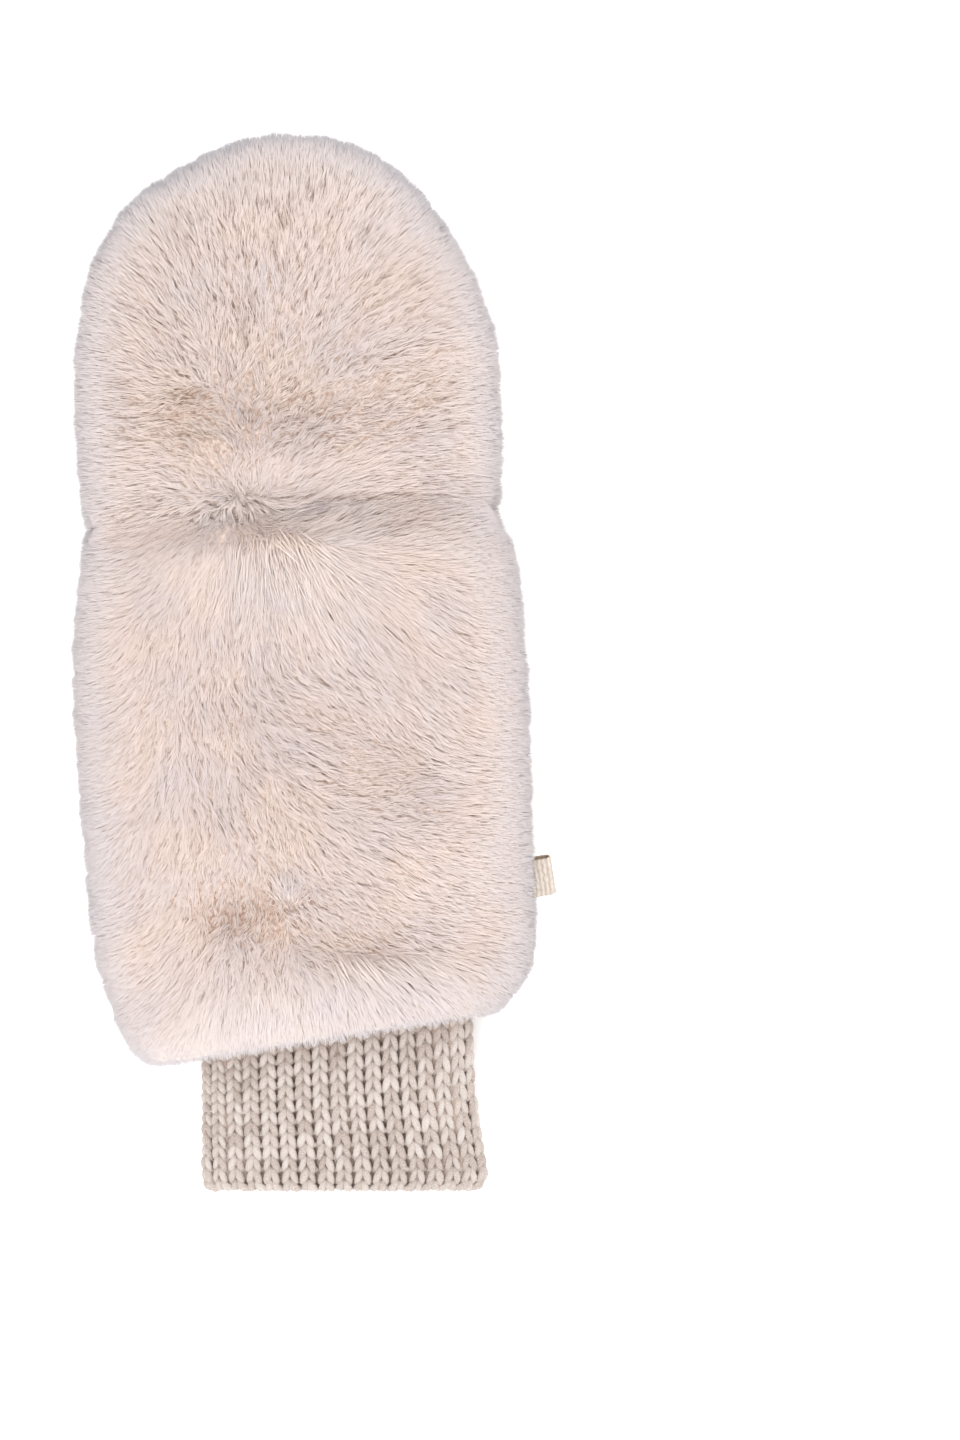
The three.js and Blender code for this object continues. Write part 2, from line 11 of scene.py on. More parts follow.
import bpy
import numpy as np
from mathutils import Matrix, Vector


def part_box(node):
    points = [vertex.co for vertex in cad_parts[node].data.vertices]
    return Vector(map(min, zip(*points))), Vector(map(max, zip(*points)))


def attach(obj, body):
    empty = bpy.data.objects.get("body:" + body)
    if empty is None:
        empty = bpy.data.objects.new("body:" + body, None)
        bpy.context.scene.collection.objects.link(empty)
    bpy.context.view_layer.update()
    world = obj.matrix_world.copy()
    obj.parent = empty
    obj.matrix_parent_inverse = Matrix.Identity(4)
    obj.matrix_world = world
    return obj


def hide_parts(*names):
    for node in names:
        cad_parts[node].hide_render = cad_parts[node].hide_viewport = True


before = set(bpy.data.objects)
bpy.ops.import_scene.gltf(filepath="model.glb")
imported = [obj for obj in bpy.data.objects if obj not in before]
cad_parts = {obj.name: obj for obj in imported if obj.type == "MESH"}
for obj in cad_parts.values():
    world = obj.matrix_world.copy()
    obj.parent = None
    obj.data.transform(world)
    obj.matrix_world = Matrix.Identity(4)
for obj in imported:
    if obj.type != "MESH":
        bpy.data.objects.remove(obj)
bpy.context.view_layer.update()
print("nodes of the frame:", sorted(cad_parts))

# %% [markdown]
# ## Sizes and section tables
# The mitten is sewn from flattened bags, and each bag is a row of rounded sections. The same tables
# that shape the solids are written here, in millimetres from the middle of the wrist's hem, because
# hairs have to end exactly on the outside of those solids. Reading the coarse solids back would lose
# that smooth outside.

# %% Sizes of the bags
MM = 0.001
FUR_WIDTH = 119.0
HAND_LENGTH = 134.5
CAP_LENGTH = 100.0
THICKNESS = 36.0
GAP = 0.3
BACK_SQUARENESS = 2.4
PALM_SQUARENESS = 2.9
EDGE_HEIGHT = 0.42
PRESSED_FLAT = 0.14
THUMB_LENGTH = 76.0
THUMB_WIDTH = 42.0
THUMB_THICKNESS = 14.0
THUMB_ROOT = np.array([30.0, 49.0])
THUMB_LEAN = math.radians(7.5)
DRAPE = 27.0
BACK_RISE = 5.0
CUFF_WIDTH = 73.8
CUFF_VISIBLE = 40.6
CUFF_SEAT = 12.0
CUFF_LENGTH = CUFF_VISIBLE + CUFF_SEAT
CUFF_THICKNESS = 17.0
CUFF_WALL = 4.0
CUFF_HEIGHT = 6.3
RIBS = 34
TAG_WIDTH = 10.5
TAG_OUT = 5.2
TAG_ROOT = 11.0
TAG_RIBBON = 0.7
TAG_LOOP = 3.2
TAG_FROM_HEM = 33.9
TAG_TURN = math.radians(9)

# %% Section tables
# Columns: along, left, right, top, bottom, slope.
HAND_SECTIONS = np.array([
    (0.012, 0.472, 0.77, 0.7, 0.15, 0.155),
    (-0.014, 0.592, 0.84, 0.84, 0.07, 0.155),
    (0.006, 0.712, 0.901, 0.94, 0.02, 0.155),
    (0.052, 0.787, 0.987, 0.99, 0, 0.15),
    (0.116, 0.839, 1.012, 0.98, 0, 0.14),
    (0.203, 0.902, 1.018, 0.97, 0, 0.12),
    (0.338, 0.94, 1.005, 1, 0, 0.08),
    (0.493, 0.97, 0.996, 1.01, 0, 0.06),
    (0.667, 0.995, 0.983, 1.02, 0, 0.05),
    (0.822, 0.992, 0.957, 1.03, 0, 0.05),
    (0.919, 0.975, 0.927, 1, 0, 0.05),
    (0.975, 0.954, 0.872, 0.9, 0, 0.05),
    (1, 0.94, 0.845, 0.8, 0.02, 0.05),
])
CAP_SECTIONS = np.array([
    (0, 0.94, 0.845, 0.8, 0.02, 0.05),
    (0.045, 0.957, 0.867, 0.92, 0, 0.045),
    (0.15, 0.979, 0.871, 1.02, 0, 0.04),
    (0.305, 0.992, 0.862, 1, 0, 0.03),
    (0.455, 0.988, 0.845, 0.98, 0, 0.02),
    (0.65, 0.922, 0.734, 0.93, 0, 0),
    (0.809, 0.769, 0.569, 0.85, 0.01, 0),
    (0.891, 0.586, 0.446, 0.77, 0.05, 0),
    (0.951, 0.407, 0.301, 0.67, 0.12, 0),
    (0.987, 0.245, 0.127, 0.55, 0.22, 0),
    (1, 0.1, -0.1, 0.38, 0.36, 0),
])
# Columns: along, side, top, bottom.
THUMB_SECTIONS = np.array([
    (0, 0, 0.5, 0.5),
    (0.025, 0.4, 0.7, 0.2),
    (0.1, 0.74, 0.92, 0.03),
    (0.22, 0.94, 1, 0),
    (0.42, 1, 1, 0),
    (0.62, 0.97, 1, 0),
    (0.79, 0.87, 1, 0),
    (0.91, 0.68, 0.93, 0.03),
    (0.98, 0.37, 0.75, 0.18),
    (1, 0, 0.5, 0.5),
])
# Columns: along, left, right, thick, height, slope.
CUFF_SECTIONS = np.array([
    (0, 0.321, 0.599, 0.8, 0.2, 0),
    (0.035, 0.346, 0.638, 0.96, 0.03, 0),
    (0.1, 0.352, 0.648, 1, 0, 0),
    (0.25, 0.352, 0.63, 1, 0.1, 0.02),
    (0.45, 0.351, 0.607, 1, 0.45, 0.07),
    (0.75, 0.351, 0.599, 1, 0.95, 0.155),
    (1, 0.351, 0.599, 1, 1, 0.155),
])
# Columns: x, along, long, wide, turn, depth.
DENTS = np.array([
    (-0.5, 0.685, 0.2, 0.12, 5, 0.09),
    (-0.05, 0.645, 0.55, 0.1, 4, 0.05),
    (0.42, 0.3, 0.34, 0.13, -35, 0.12),
    (0.25, 0.1, 0.42, 0.11, -6, 0.1),
    (-0.35, 0.13, 0.22, 0.12, 20, 0.06),
    (0.12, 0.44, 0.35, 0.16, -30, -0.06),
])


# %% [markdown]
# ## The outside of each bag as a function
# A place counts sections along a bag and a turn goes once round it, from the right-hand edge over the
# back. Giving a hundred thousand places and turns at once to one array function is what makes hair by
# hair work fast enough in Python.

# %% Sections, smooth between their rows
def smooth(value, low, high):
    t = np.clip((value - low) / (high - low), 0, 1)
    return t * t * (3 - 2 * t)


TINY = 1e-9


def unit(vectors):
    return vectors / np.maximum(np.linalg.norm(vectors, axis=-1, keepdims=True), TINY)


def between(table, place):
    last = len(table) - 1
    i = np.clip(np.floor(place).astype(int), 0, last - 1)
    t = (place - i)[:, None]
    a, b, c, d = (table[np.clip(i + k, 0, last)] for k in (-1, 0, 1, 2))
    return b + 0.5 * t * (c - a + t * (2 * a - 5 * b + 4 * c - d + t * (3 * (b - c) + d - a)))


def section_point(y, left, right, slope, lower, upper, turn):
    c = np.cos(turn * 2 * np.pi)
    s = np.sin(turn * 2 * np.pi)
    power = 2 / np.where(s > 0, BACK_SQUARENESS, PALM_SQUARENESS)
    x = (right - left) / 2 + (right + left) / 2 * np.sign(c) * np.abs(c) ** power
    rise = np.sign(s) * np.abs(s) ** power
    y_here = y + slope * x
    low = lower(x, y_here)
    high = upper(x, y_here, np.maximum(rise, 0))
    widest = low + EDGE_HEIGHT * (high - low)
    over = widest + (high - widest) * rise
    under = widest + (widest - low) * np.maximum(rise / (1 - PRESSED_FLAT), -1)
    return np.stack([x, y_here, np.where(rise > 0, over, under)], axis=-1)


# %% What lies under and on the fur
THUMB_WAY = np.array([-math.sin(THUMB_LEAN), math.cos(THUMB_LEAN)])


def over_thumb(x, y):
    reach = THUMB_WIDTH / 2
    dx, dy = x - THUMB_ROOT[0], y - THUMB_ROOT[1]
    along = np.clip(dx * THUMB_WAY[0] + dy * THUMB_WAY[1], reach, THUMB_LENGTH - reach)
    distance = np.hypot(dx - along * THUMB_WAY[0], dy - along * THUMB_WAY[1])
    return 1 - smooth(distance, reach, reach + DRAPE)


def ovals(x, y, table):
    """The sum of soft oval spots: columns x, y, long, wide, turn in degrees, amount."""
    total = np.zeros_like(x)
    for px, py, length, width, turn, amount in table:
        c, s = math.cos(math.radians(turn)), math.sin(math.radians(turn))
        u = 2 * ((x - px) * c + (y - py) * s) / length
        v = 2 * ((y - py) * c - (x - px) * s) / width
        total += amount * np.exp(-(u * u + v * v))
    return total


SIZES_OF_DENTS = [FUR_WIDTH / 2, HAND_LENGTH + CAP_LENGTH, FUR_WIDTH, FUR_WIDTH, 1, THICKNESS]
DENTS_MM = DENTS * np.array(SIZES_OF_DENTS)


# %% The bags
# A dent is deep on the back and fades out down the sides.
DENTS_FADE = (0.25, 0.9)


def fur_bag(table, length, start, inset=0.0, palm_inset=0.0, tip_inset=0.0):
    """The outside of a bag of fur, or its cloth where insets are given."""
    half = FUR_WIDTH / 2

    def at(place, turn):
        along, left, right, top, bottom, slope = between(table, place).T
        side = half - inset

        def lower(x, y):
            return palm_inset + bottom * THICKNESS + (THUMB_THICKNESS + GAP) * over_thumb(x, y)

        def upper(x, y, rise):
            dents = ovals(x, y, DENTS_MM) * smooth(rise, *DENTS_FADE)
            return top * THICKNESS - inset + BACK_RISE * over_thumb(x, y) - dents

        return section_point(
            start + along * (length - tip_inset), left * side, right * side, slope, lower, upper, turn
        )

    return at


def thumb_bag(inset=0.0):
    def at(place, turn):
        along, side, top, bottom = between(THUMB_SECTIONS, place).T
        half = side * (THUMB_WIDTH / 2 - 1.5 * inset)
        thickness = THUMB_THICKNESS - 2 * inset
        point = section_point(
            inset + along * (THUMB_LENGTH - 2 * inset), half, half, 0,
            lambda x, y: inset + bottom * thickness,
            lambda x, y, rise: inset + top * thickness,
            turn,
        )
        across, along_y, z = point.T
        x = THUMB_ROOT[0] + THUMB_WAY[0] * along_y + THUMB_WAY[1] * across
        y = THUMB_ROOT[1] + THUMB_WAY[1] * along_y - THUMB_WAY[0] * across
        return np.stack([x, y, z], axis=-1)

    return at


CAP_START = HAND_LENGTH + GAP / 2
hand_outside = fur_bag(HAND_SECTIONS, HAND_LENGTH - GAP / 2, 0)
cap_outside = fur_bag(CAP_SECTIONS, CAP_LENGTH, CAP_START)
thumb_outside = thumb_bag()


def tag_place():
    place = np.interp(TAG_FROM_HEM / HAND_LENGTH, HAND_SECTIONS[:, 0], np.arange(len(HAND_SECTIONS)))
    return hand_outside(np.array([place]), np.array([0.0]))[0]


# The cuff's folded edge and the tag's outer corner tie the tables to the frame.
TAG_REACH = (TAG_ROOT + TAG_OUT) * math.cos(TAG_TURN) + TAG_WIDTH / 2 * abs(math.sin(TAG_TURN)) - TAG_ROOT
SHIFT = np.array([
    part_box("ribbon_tag")[1].x / MM - tag_place()[0] - TAG_REACH,
    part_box("knit_cuff")[0].y / MM + CUFF_VISIBLE,
    0.0,
])
print("tables to frame, mm:", SHIFT.round(2))


def outwards(at, table, place, turn):
    last = len(table) - 1
    step = 0.01
    along = at(np.clip(place + 2 * step, 0, last), turn) - at(np.clip(place - 2 * step, 0, last), turn)
    round_it = at(place, turn + step) - at(place, turn - step)
    return unit(np.cross(along, round_it))


# %% [markdown]
# ## Colours and nodes
# Every colour is written as it reads on a screen, in sRGB hex, and one function turns it to the linear
# values that light is computed with. One more function adds a shader node with its settings and its
# links, so each material below reads as a short list.

# %% Helpers for materials
def linear(hex_colour):
    """The linear values of an sRGB colour, by the sRGB curve."""
    parts = [int(hex_colour[i:i + 2], 16) / 255 for i in (1, 3, 5)]
    return tuple(p / 12.92 if p <= 0.04045 else ((p + 0.055) / 1.055) ** 2.4 for p in parts) + (1.0,)


def node(tree, kind, settings=None, links=None):
    made = tree.nodes.new(kind)
    for name, value in (settings or {}).items():
        if isinstance(name, int) or name in made.inputs:
            made.inputs[name].default_value = value
        else:
            setattr(made, name, value)
    for name, source in (links or {}).items():
        tree.links.new(source, made.inputs[name])
    return made


def new_material(name):
    material = bpy.data.materials.new(name)
    material.use_nodes = True
    material.node_tree.nodes.clear()
    return material


def ramp(tree, factor, stops):
    made = node(tree, "ShaderNodeValToRGB", links={"Fac": factor})
    elements = made.color_ramp.elements
    while len(elements) < len(stops):
        elements.new(0.5)
    for element, (place, colour) in zip(elements, stops):
        element.position = place
        element.color = linear(colour)
    return made.outputs["Color"]


# %% [markdown]
# ## Meshes from arrays
# A pile has too many hairs to be made one object at a time. Each kind of small thing is worked out as
# one big array of points and one of faces, and Blender takes them in a single step, as one joined mesh.

# %% Helpers for meshes
def make_mesh(name, points, triangles, material, replaces, attributes=None, normals=None):
    """points in millimetres in the tables' frame; attributes are a number for each point."""
    mesh = bpy.data.meshes.new(name)
    mesh.vertices.add(len(points))
    mesh.vertices.foreach_set("co", ((points + SHIFT) * MM).astype(np.float32).ravel())
    mesh.loops.add(triangles.size)
    mesh.loops.foreach_set("vertex_index", triangles.astype(np.int32).ravel())
    mesh.polygons.add(len(triangles))
    mesh.polygons.foreach_set("loop_start", np.arange(0, triangles.size, 3, dtype=np.int32))
    mesh.polygons.foreach_set("use_smooth", np.ones(len(triangles), dtype=bool))
    for key, values in (attributes or {}).items():
        layer = mesh.attributes.new(key, "FLOAT", "POINT")
        layer.data.foreach_set("value", values.astype(np.float32))
    mesh.update(calc_edges=True)
    if normals is not None:
        mesh.normals_split_custom_set_from_vertices(normals.astype(np.float32))
    mesh.materials.append(material)
    piece = bpy.data.objects.new(name, mesh)
    bpy.context.scene.collection.objects.link(piece)
    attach(piece, "root")
    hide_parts(replaces)
    print(f"{name}: {len(triangles)} triangles")
    return piece


def grid_triangles(rows, columns, first=0, closed=True):
    """Two triangles for each cell of a grid of points, closed round its columns."""
    r = np.arange(rows - 1)[:, None]
    k = np.arange(columns if closed else columns - 1)[None, :]
    a = first + r * columns + k
    b = first + r * columns + (k + 1) % columns
    c, d = a + columns, b + columns
    return np.concatenate([np.stack([a, c, d], -1), np.stack([a, d, b], -1)]).reshape(-1, 3)


# %% [markdown]
# ## How the pile is combed
# On the real mitten the long pile was brushed and then handled: on the cap it fans out from the middle
# towards the tip and the sides, over the knuckle seam a smooth ridge lies to the right, and over the
# hand it runs down to the wrist. A short table of combing marks says which way the hair lies at each
# place and how flat, and every hair takes a weighted mean of the marks near it. That is how a brush
# works, and it is easy to retouch.

# %% Combing marks on the back
# Columns: x, y, direction in degrees from the right, flatness from 0, standing, to 1, lying.
COMBING = np.array([
    (-29, 232, 98, 0.9), (-6, 231, 90, 0.9), (12, 228, 75, 0.9), (28, 217, 48, 0.9),
    (38, 202, 30, 0.9), (46, 186, 15, 0.9), (50, 171, 3, 0.9), (49, 155, 0, 0.9),
    (-40, 217, 118, 0.9), (-50, 202, 150, 0.9), (-55, 186, 165, 0.9), (-56, 171, 178, 0.9),
    (-55, 155, 180, 0.9), (-6, 210, 88, 0.6), (-27, 204, 106, 0.6), (12, 204, 64, 0.6),
    (-40, 191, 130, 0.6), (25, 189, 34, 0.6), (-6, 189, 84, 0.45), (-23, 186, 97, 0.42),
    (10, 184, 54, 0.45), (-36, 178, 140, 0.42), (33, 173, 12, 0.55), (-14, 173, 78, 0.3),
    (4, 172, 45, 0.32), (20, 167, 24, 0.38), (-27, 159, 200, 0.12), (-41, 160, 180, 0.4),
    (-1, 160, 30, 0.12), (-14, 156, 80, 0.1), (12, 158, 20, 0.2), (-48, 145, 180, 0.75),
    (-9, 147, 72, 0.55), (4, 147, 38, 0.7), (20, 145, 12, 0.8), (36, 145, 3, 0.8),
    (-27, 145, 120, 0.3), (-40, 142, 178, 0.6), (10, 135, 30, 0.8), (21, 134, 20, 0.8),
    (34, 129, 4, 0.85), (25, 120, 345, 0.85), (12, 119, 315, 0.85), (2, 113, 288, 0.85),
    (-9, 113, 268, 0.85), (-22, 113, 256, 0.8), (-35, 119, 236, 0.8), (-45, 124, 208, 0.85),
    (-55, 113, 184, 0.9), (51, 124, 0, 0.9), (56, 103, 355, 0.9), (-14, 128, 280, 0.3),
    (-1, 132, 340, 0.35), (-27, 129, 240, 0.35), (-42, 98, 248, 0.6), (-32, 98, 264, 0.55),
    (-16, 100, 270, 0.6), (-1, 103, 285, 0.75), (12, 103, 300, 0.78), (25, 103, 310, 0.78),
    (36, 108, 320, 0.8), (46, 103, 337, 0.85), (-56, 87, 182, 0.9), (-48, 87, 212, 0.75),
    (-40, 82, 262, 0.5), (-27, 82, 276, 0.42), (-14, 82, 292, 0.38), (-1, 86, 335, 0.5),
    (8, 82, 345, 0.5), (20, 82, 322, 0.5), (30, 87, 310, 0.6), (41, 82, 322, 0.7), (53, 77, 350, 0.9),
    (59, 69, 0, 0.9), (-40, 64, 264, 0.5), (-22, 64, 284, 0.45), (-6, 64, 318, 0.42),
    (10, 64, 350, 0.5), (25, 67, 2, 0.45), (33, 60, 350, 0.45), (44, 61, 0, 0.8), (55, 54, 0, 0.9),
    (-53, 61, 188, 0.9), (-46, 64, 228, 0.8), (-40, 43, 256, 0.7), (-27, 43, 262, 0.5),
    (-11, 48, 290, 0.4), (-1, 46, 300, 0.4), (12, 46, 325, 0.6), (25, 46, 330, 0.65),
    (38, 43, 340, 0.8), (51, 38, 350, 0.9), (-19, 33, 258, 0.12), (-11, 25, 270, 0.12),
    (7, 28, 345, 0.32), (20, 28, 350, 0.42), (33, 25, 350, 0.6), (46, 22, 354, 0.85),
    (-37, 28, 236, 0.7), (-49, 28, 196, 0.9), (-27, 15, 246, 0.6), (-14, 15, 262, 0.45),
    (-1, 15, 284, 0.45), (12, 15, 318, 0.55), (30, 13, 330, 0.7), (46, 12, 332, 0.85),
    (-42, 9, 222, 0.85), (-48, 7, 214, 0.9), (-37, -1, 236, 0.9), (-22, -1, 264, 0.9),
    (-6, -1, 268, 0.9), (10, 2, 275, 0.9), (25, 4, 285, 0.9), (38, 7, 300, 0.9), (51, 9, 320, 0.9),
    (58, 17, 340, 0.9),
])
COMB_REACH = 7.0
ROOTS_BEHIND = (2.5, 5.0, 8.0)


def mean_of_marks(x, y):
    """The mean way of the marks near each place, shorter where they disagree, and their mean flatness."""
    distance = (x[:, None] - COMBING[:, 0]) ** 2 + (y[:, None] - COMBING[:, 1]) ** 2
    near = np.exp(-distance / (2 * COMB_REACH**2)) + TINY
    angle = np.radians(COMBING[:, 2])
    share = near / near.sum(axis=1, keepdims=True)
    way = np.stack([share @ np.cos(angle), share @ np.sin(angle), np.zeros(len(x))], axis=-1)
    return way, share @ COMBING[:, 3]


def combed(x, y):
    """The way the pile lies at each place, as a level unit vector, and how flat."""
    mean, flat = mean_of_marks(x, y)
    way = unit(mean)
    # Where hairs are combed away from each other, or a tip and its root are combed two ways, they stand.
    agreed = np.zeros(len(x))
    for distance in ROOTS_BEHIND:
        behind, _ = mean_of_marks(x - distance * way[:, 0], y - distance * way[:, 1])
        agreed += smooth((way * unit(behind)).sum(axis=1), 0.0, 0.9) / len(ROOTS_BEHIND)
    return way, flat * smooth(np.linalg.norm(mean, axis=1), 0.1, 0.7) * agreed


# %% Marks where the darker roots show, and smooth pale places
# Columns: x, y, long, wide, turn in degrees, amount. Above 0 the roots show, below 0 the pile is smooth.
ROOTS_SHOW = [
    (-31, 166, 12, 6.0, 0, 1.5),
    (-9, 161, 75, 18.2, 3, 0.38),
    (25, 159, 34, 10.4, 0, 0.2),
    (-26, 136, 22, 2.6, 8, 0.5),
    (-8, 137.6, 20, 2.6, 3, 0.45),
    (7, 139, 17, 3.4, 20, 1.0),
    (23, 140.4, 32, 2.6, 1, 0.9),
    (-43, 133, 18, 3.1, 4, 0.4),
    (-13, 129, 18, 4.2, 6, 0.3),
    (-15, 139, 34, 9.0, 0, -0.45),
    (26, 66, 29, 14.6, -24, 0.22),
    (10, 82, 26, 7.8, -8, 0.2),
    (-14, 80, 16, 4.7, 10, 0.35),
    (-15, 31, 31, 15.6, 6, 0.95),
    (20, 26, 39, 15.6, -6, 0.45),
    (1, 35, 7, 3.6, 24, 1.0),
    (-4, 31, 5, 2.3, 0, 0.8),
    (-7, 39, 3, 7.8, -20, 0.5),
    (4, 147, 52, 8.8, 4, -0.6),
    (-1, 116, 60, 28.6, -20, -0.5),
    (-3, 37, 4, 8.8, 70, -1.0),
    (-1, 0, 86, 13, 8, -0.8),
]

# %% [markdown]
# ## Tufts
# Hairs of a pile cling together at their tips into tufts, and between tufts the darker roots show.
# Scattering many centres and giving each hair to the nearest one is a quick way to share them out;
# pulling each hair's tip towards the middle of its own group then makes the tufts.

# %% Helpers for tufts
CHANCES = 8192
NUMBERS = np.random.default_rng(11).random((CHANCES, 4))
STREAK_SAMPLES = 9


def scrambled(cell, seed):
    """Four chance numbers for each cell, always the same ones, from large primes that mix its counts."""
    key = (cell[:, 0] * 73856093) ^ (cell[:, 1] * 19349663) ^ (cell[:, 2] * 83492791) ^ (seed * 2654435)
    key = key ^ (key >> 13)
    return NUMBERS[key & (CHANCES - 1)]


def nearest_centre(points, size, seed):
    """Which of many centres, about size apart, each point is nearest to, and its chance numbers."""
    home = np.floor(points / size).astype(np.int64)
    best = np.full(len(points), np.inf)
    owner = np.zeros((len(points), 3), dtype=np.int64)
    for step in product((-1, 0, 1), repeat=3):
        cell = home + np.array(step)
        centre = (cell + scrambled(cell, seed)[:, :3]) * size
        distance = ((points - centre) ** 2).sum(axis=1)
        nearer = distance < best
        best[nearer] = distance[nearer]
        owner[nearer] = cell[nearer]
    _, group = np.unique(owner, axis=0, return_inverse=True)
    return group.ravel(), scrambled(owner, seed + 1)


def group_mean(values, group):
    count = np.bincount(group)
    return np.stack([np.bincount(group, values[:, k]) / count for k in range(3)], axis=-1)[group]


def soft_noise(points, size, seed):
    """Smooth chance values from -1 to 1 that change over about size."""
    place = points / size
    home = np.floor(place).astype(np.int64)
    t = place - home
    t = t * t * (3 - 2 * t)
    total = np.zeros(len(points))
    for step in product((0, 1), repeat=3):
        weight = np.prod(np.where(np.array(step) == 1, t, 1 - t), axis=1)
        total += weight * scrambled(home + np.array(step), seed)[:, 0]
    return 2 * total - 1


def streaks(points, way, width, length, seed):
    """Chance values, about -1 to 1, that run in streaks along the way the hair lies."""
    steps = np.linspace(-0.5, 0.5, STREAK_SAMPLES)
    total = sum(soft_noise(points + way * (step * length), width, seed) for step in steps)
    return total / math.sqrt(STREAK_SAMPLES)


# %% [markdown]
# ## One hair
# A hair of faux fur is an acrylic fibre, thick in the middle and drawn out to a fine tip, and there are
# millions. Here one hair is a slim kite: a point at the root, two points where it bends and a point at
# the tip, so it costs two faces. Each faces outwards, more or less, as a flat lying fibre does. A real
# fibre is some 0.04 mm thick, so each kite stands for a few of them and is drawn as coarse as the
# picture can show.

# %% Helper for hairs
def kites(roots, bends, tips, widths, facing, front):
    """Points (4 for each hair) and triangles (2 for each hair), with their flat sides turned to facing.
    Each triangle is wound so that its front is on the side of front."""
    side = unit(np.cross(unit(tips - roots), facing)) * widths[:, None] / 2
    left, right = bends - side, bends + side
    points = np.stack([roots, left, right, tips], axis=1).reshape(-1, 3)
    lower = (np.cross(right - roots, left - roots) * front).sum(axis=1) < 0
    upper = (np.cross(right - left, tips - left) * front).sum(axis=1) < 0
    faces = np.empty((len(roots), 2, 3), dtype=np.int64)
    faces[:, 0] = np.where(lower[:, None], (0, 1, 2), (0, 2, 1))
    faces[:, 1] = np.where(upper[:, None], (2, 1, 3), (1, 2, 3))
    triangles = (np.arange(len(roots))[:, None, None] * 4 + faces).reshape(-1, 3)
    return points, triangles


SCATTER_CELLS = (160, 240)


def scatter(at, places, turns, count, rng):
    """Chance places and turns that lie evenly over a bag's area."""
    n, m = SCATTER_CELLS
    p = np.linspace(*places, n + 1)
    t = np.linspace(*turns, m + 1)
    pp, tt = np.meshgrid(p, t, indexing="ij")
    corner = at(pp.ravel(), tt.ravel()).reshape(n + 1, m + 1, 3)
    across = corner[1:, :-1] - corner[:-1, :-1]
    round_it = corner[:-1, 1:] - corner[:-1, :-1]
    area = np.linalg.norm(np.cross(across, round_it), axis=-1).ravel()
    cell = rng.choice(n * m, count, p=area / area.sum())
    i, k = cell // m, cell % m
    place = p[0] + (i + rng.random(count)) * (p[-1] - p[0]) / n
    turn = t[0] + (k + rng.random(count)) * (t[-1] - t[0]) / m
    return place, turn, area.sum()


# %% Where the pile fills the seam, lies smooth or parts
SEAM_FILL = 5.8
SEAM_REACH = 5.5
SEAM_SLOPE = 0.05
RIM_TO_BACK = (0.72, 0.97)
SIDE_TO_BACK = (0.3, 0.8)
PARTINGS = (1.5, 8.0)
PARTED_ON_HAND = 0.25
MORE_PARTED_ON_CAP = 0.65
CAP_FADES_IN = 25
LOBE = 8.5
SMALL_LOBE = 2.8


def near_seam(points, reach):
    from_seam = points[:, 1] - HAND_LENGTH - SEAM_SLOPE * points[:, 0]
    return np.exp(-((from_seam / reach) ** 2)) * smooth(points[:, 2], 0.5 * THICKNESS, 0.7 * THICKNESS)


def facing_up(out, low, high):
    """1 where the outside faces up, seen along the mitten, and 0 where it faces sideways."""
    return smooth(out[:, 2] / np.maximum(np.hypot(out[:, 0], out[:, 2]), TINY), low, high)


def on_back(points, out):
    """1 on the broad back, and 0 round the rim, where the pile lies out smoothly."""
    in_groove = near_seam(points, 2 * SEAM_REACH) * facing_up(out, *RIM_TO_BACK)
    return np.maximum(smooth(out[:, 2], *RIM_TO_BACK), in_groove)


def seam_fill(points, out):
    """How far the pile stands over the groove of the seam, where hairs of both sides close it."""
    return SEAM_FILL * near_seam(points, SEAM_REACH) * facing_up(out, *SIDE_TO_BACK)


def roots_shown(points, level, way):
    """From -1, smooth, to 1, where the roots show."""
    parted = smooth(streaks(points, way, *PARTINGS, 9), 0.1, 0.9)
    on_cap = smooth(points[:, 1], HAND_LENGTH, HAND_LENGTH + CAP_FADES_IN)
    marks = ovals(points[:, 0], points[:, 1], ROOTS_SHOW)
    parted_share = PARTED_ON_HAND + MORE_PARTED_ON_CAP * on_cap
    return np.clip(marks * level + parted_share * parted * level, -1, 1)


def lobes(points, size, seed):
    """How far the pile's outline swells: round lobes where hairs gather, with nicks between them."""
    lobe, chance = nearest_centre(points, size, seed)
    from_middle = np.linalg.norm(points - group_mean(points, lobe), axis=1) / size
    top, roundness, unevenness = 0.6, 2.2, 0.5
    return top - roundness * from_middle**2 + unevenness * (chance[:, 0] - 0.5)


# %% Which way each hair leans
LEAN_AT_RIM = 14
MORE_LEAN_ON_BACK = 16
MORE_LEAN_COMBED_FLAT = 42
WANDER = 0.07
UP = np.array([0.0, 0.0, 1.0])


def hair_ways(out, way, flat, level, bare, chance, rng):
    """Each hair's direction from its root. Where the pile stands, each tuft leans its own way."""
    shown, smoothed = np.maximum(bare, 0), np.maximum(-bare, 0)
    spread = 2 * np.pi * chance[:, 1]
    own_way = np.stack([np.cos(spread), np.sin(spread), np.zeros(len(out))], axis=-1)
    leaning = unit(way + (0.65 * (1 - flat) * level)[:, None] * own_way)
    lean = LEAN_AT_RIM + MORE_LEAN_ON_BACK * level + MORE_LEAN_COMBED_FLAT * flat * (1 - 0.4 * shown)
    lean = np.radians(lean)[:, None]
    wander = WANDER * rng.standard_normal((len(out), 3)) + WANDER * (chance[:, :3] - 0.5)
    return unit(out * np.cos(lean) + leaning * np.sin(lean) + wander * (1 - 0.5 * smoothed[:, None]))


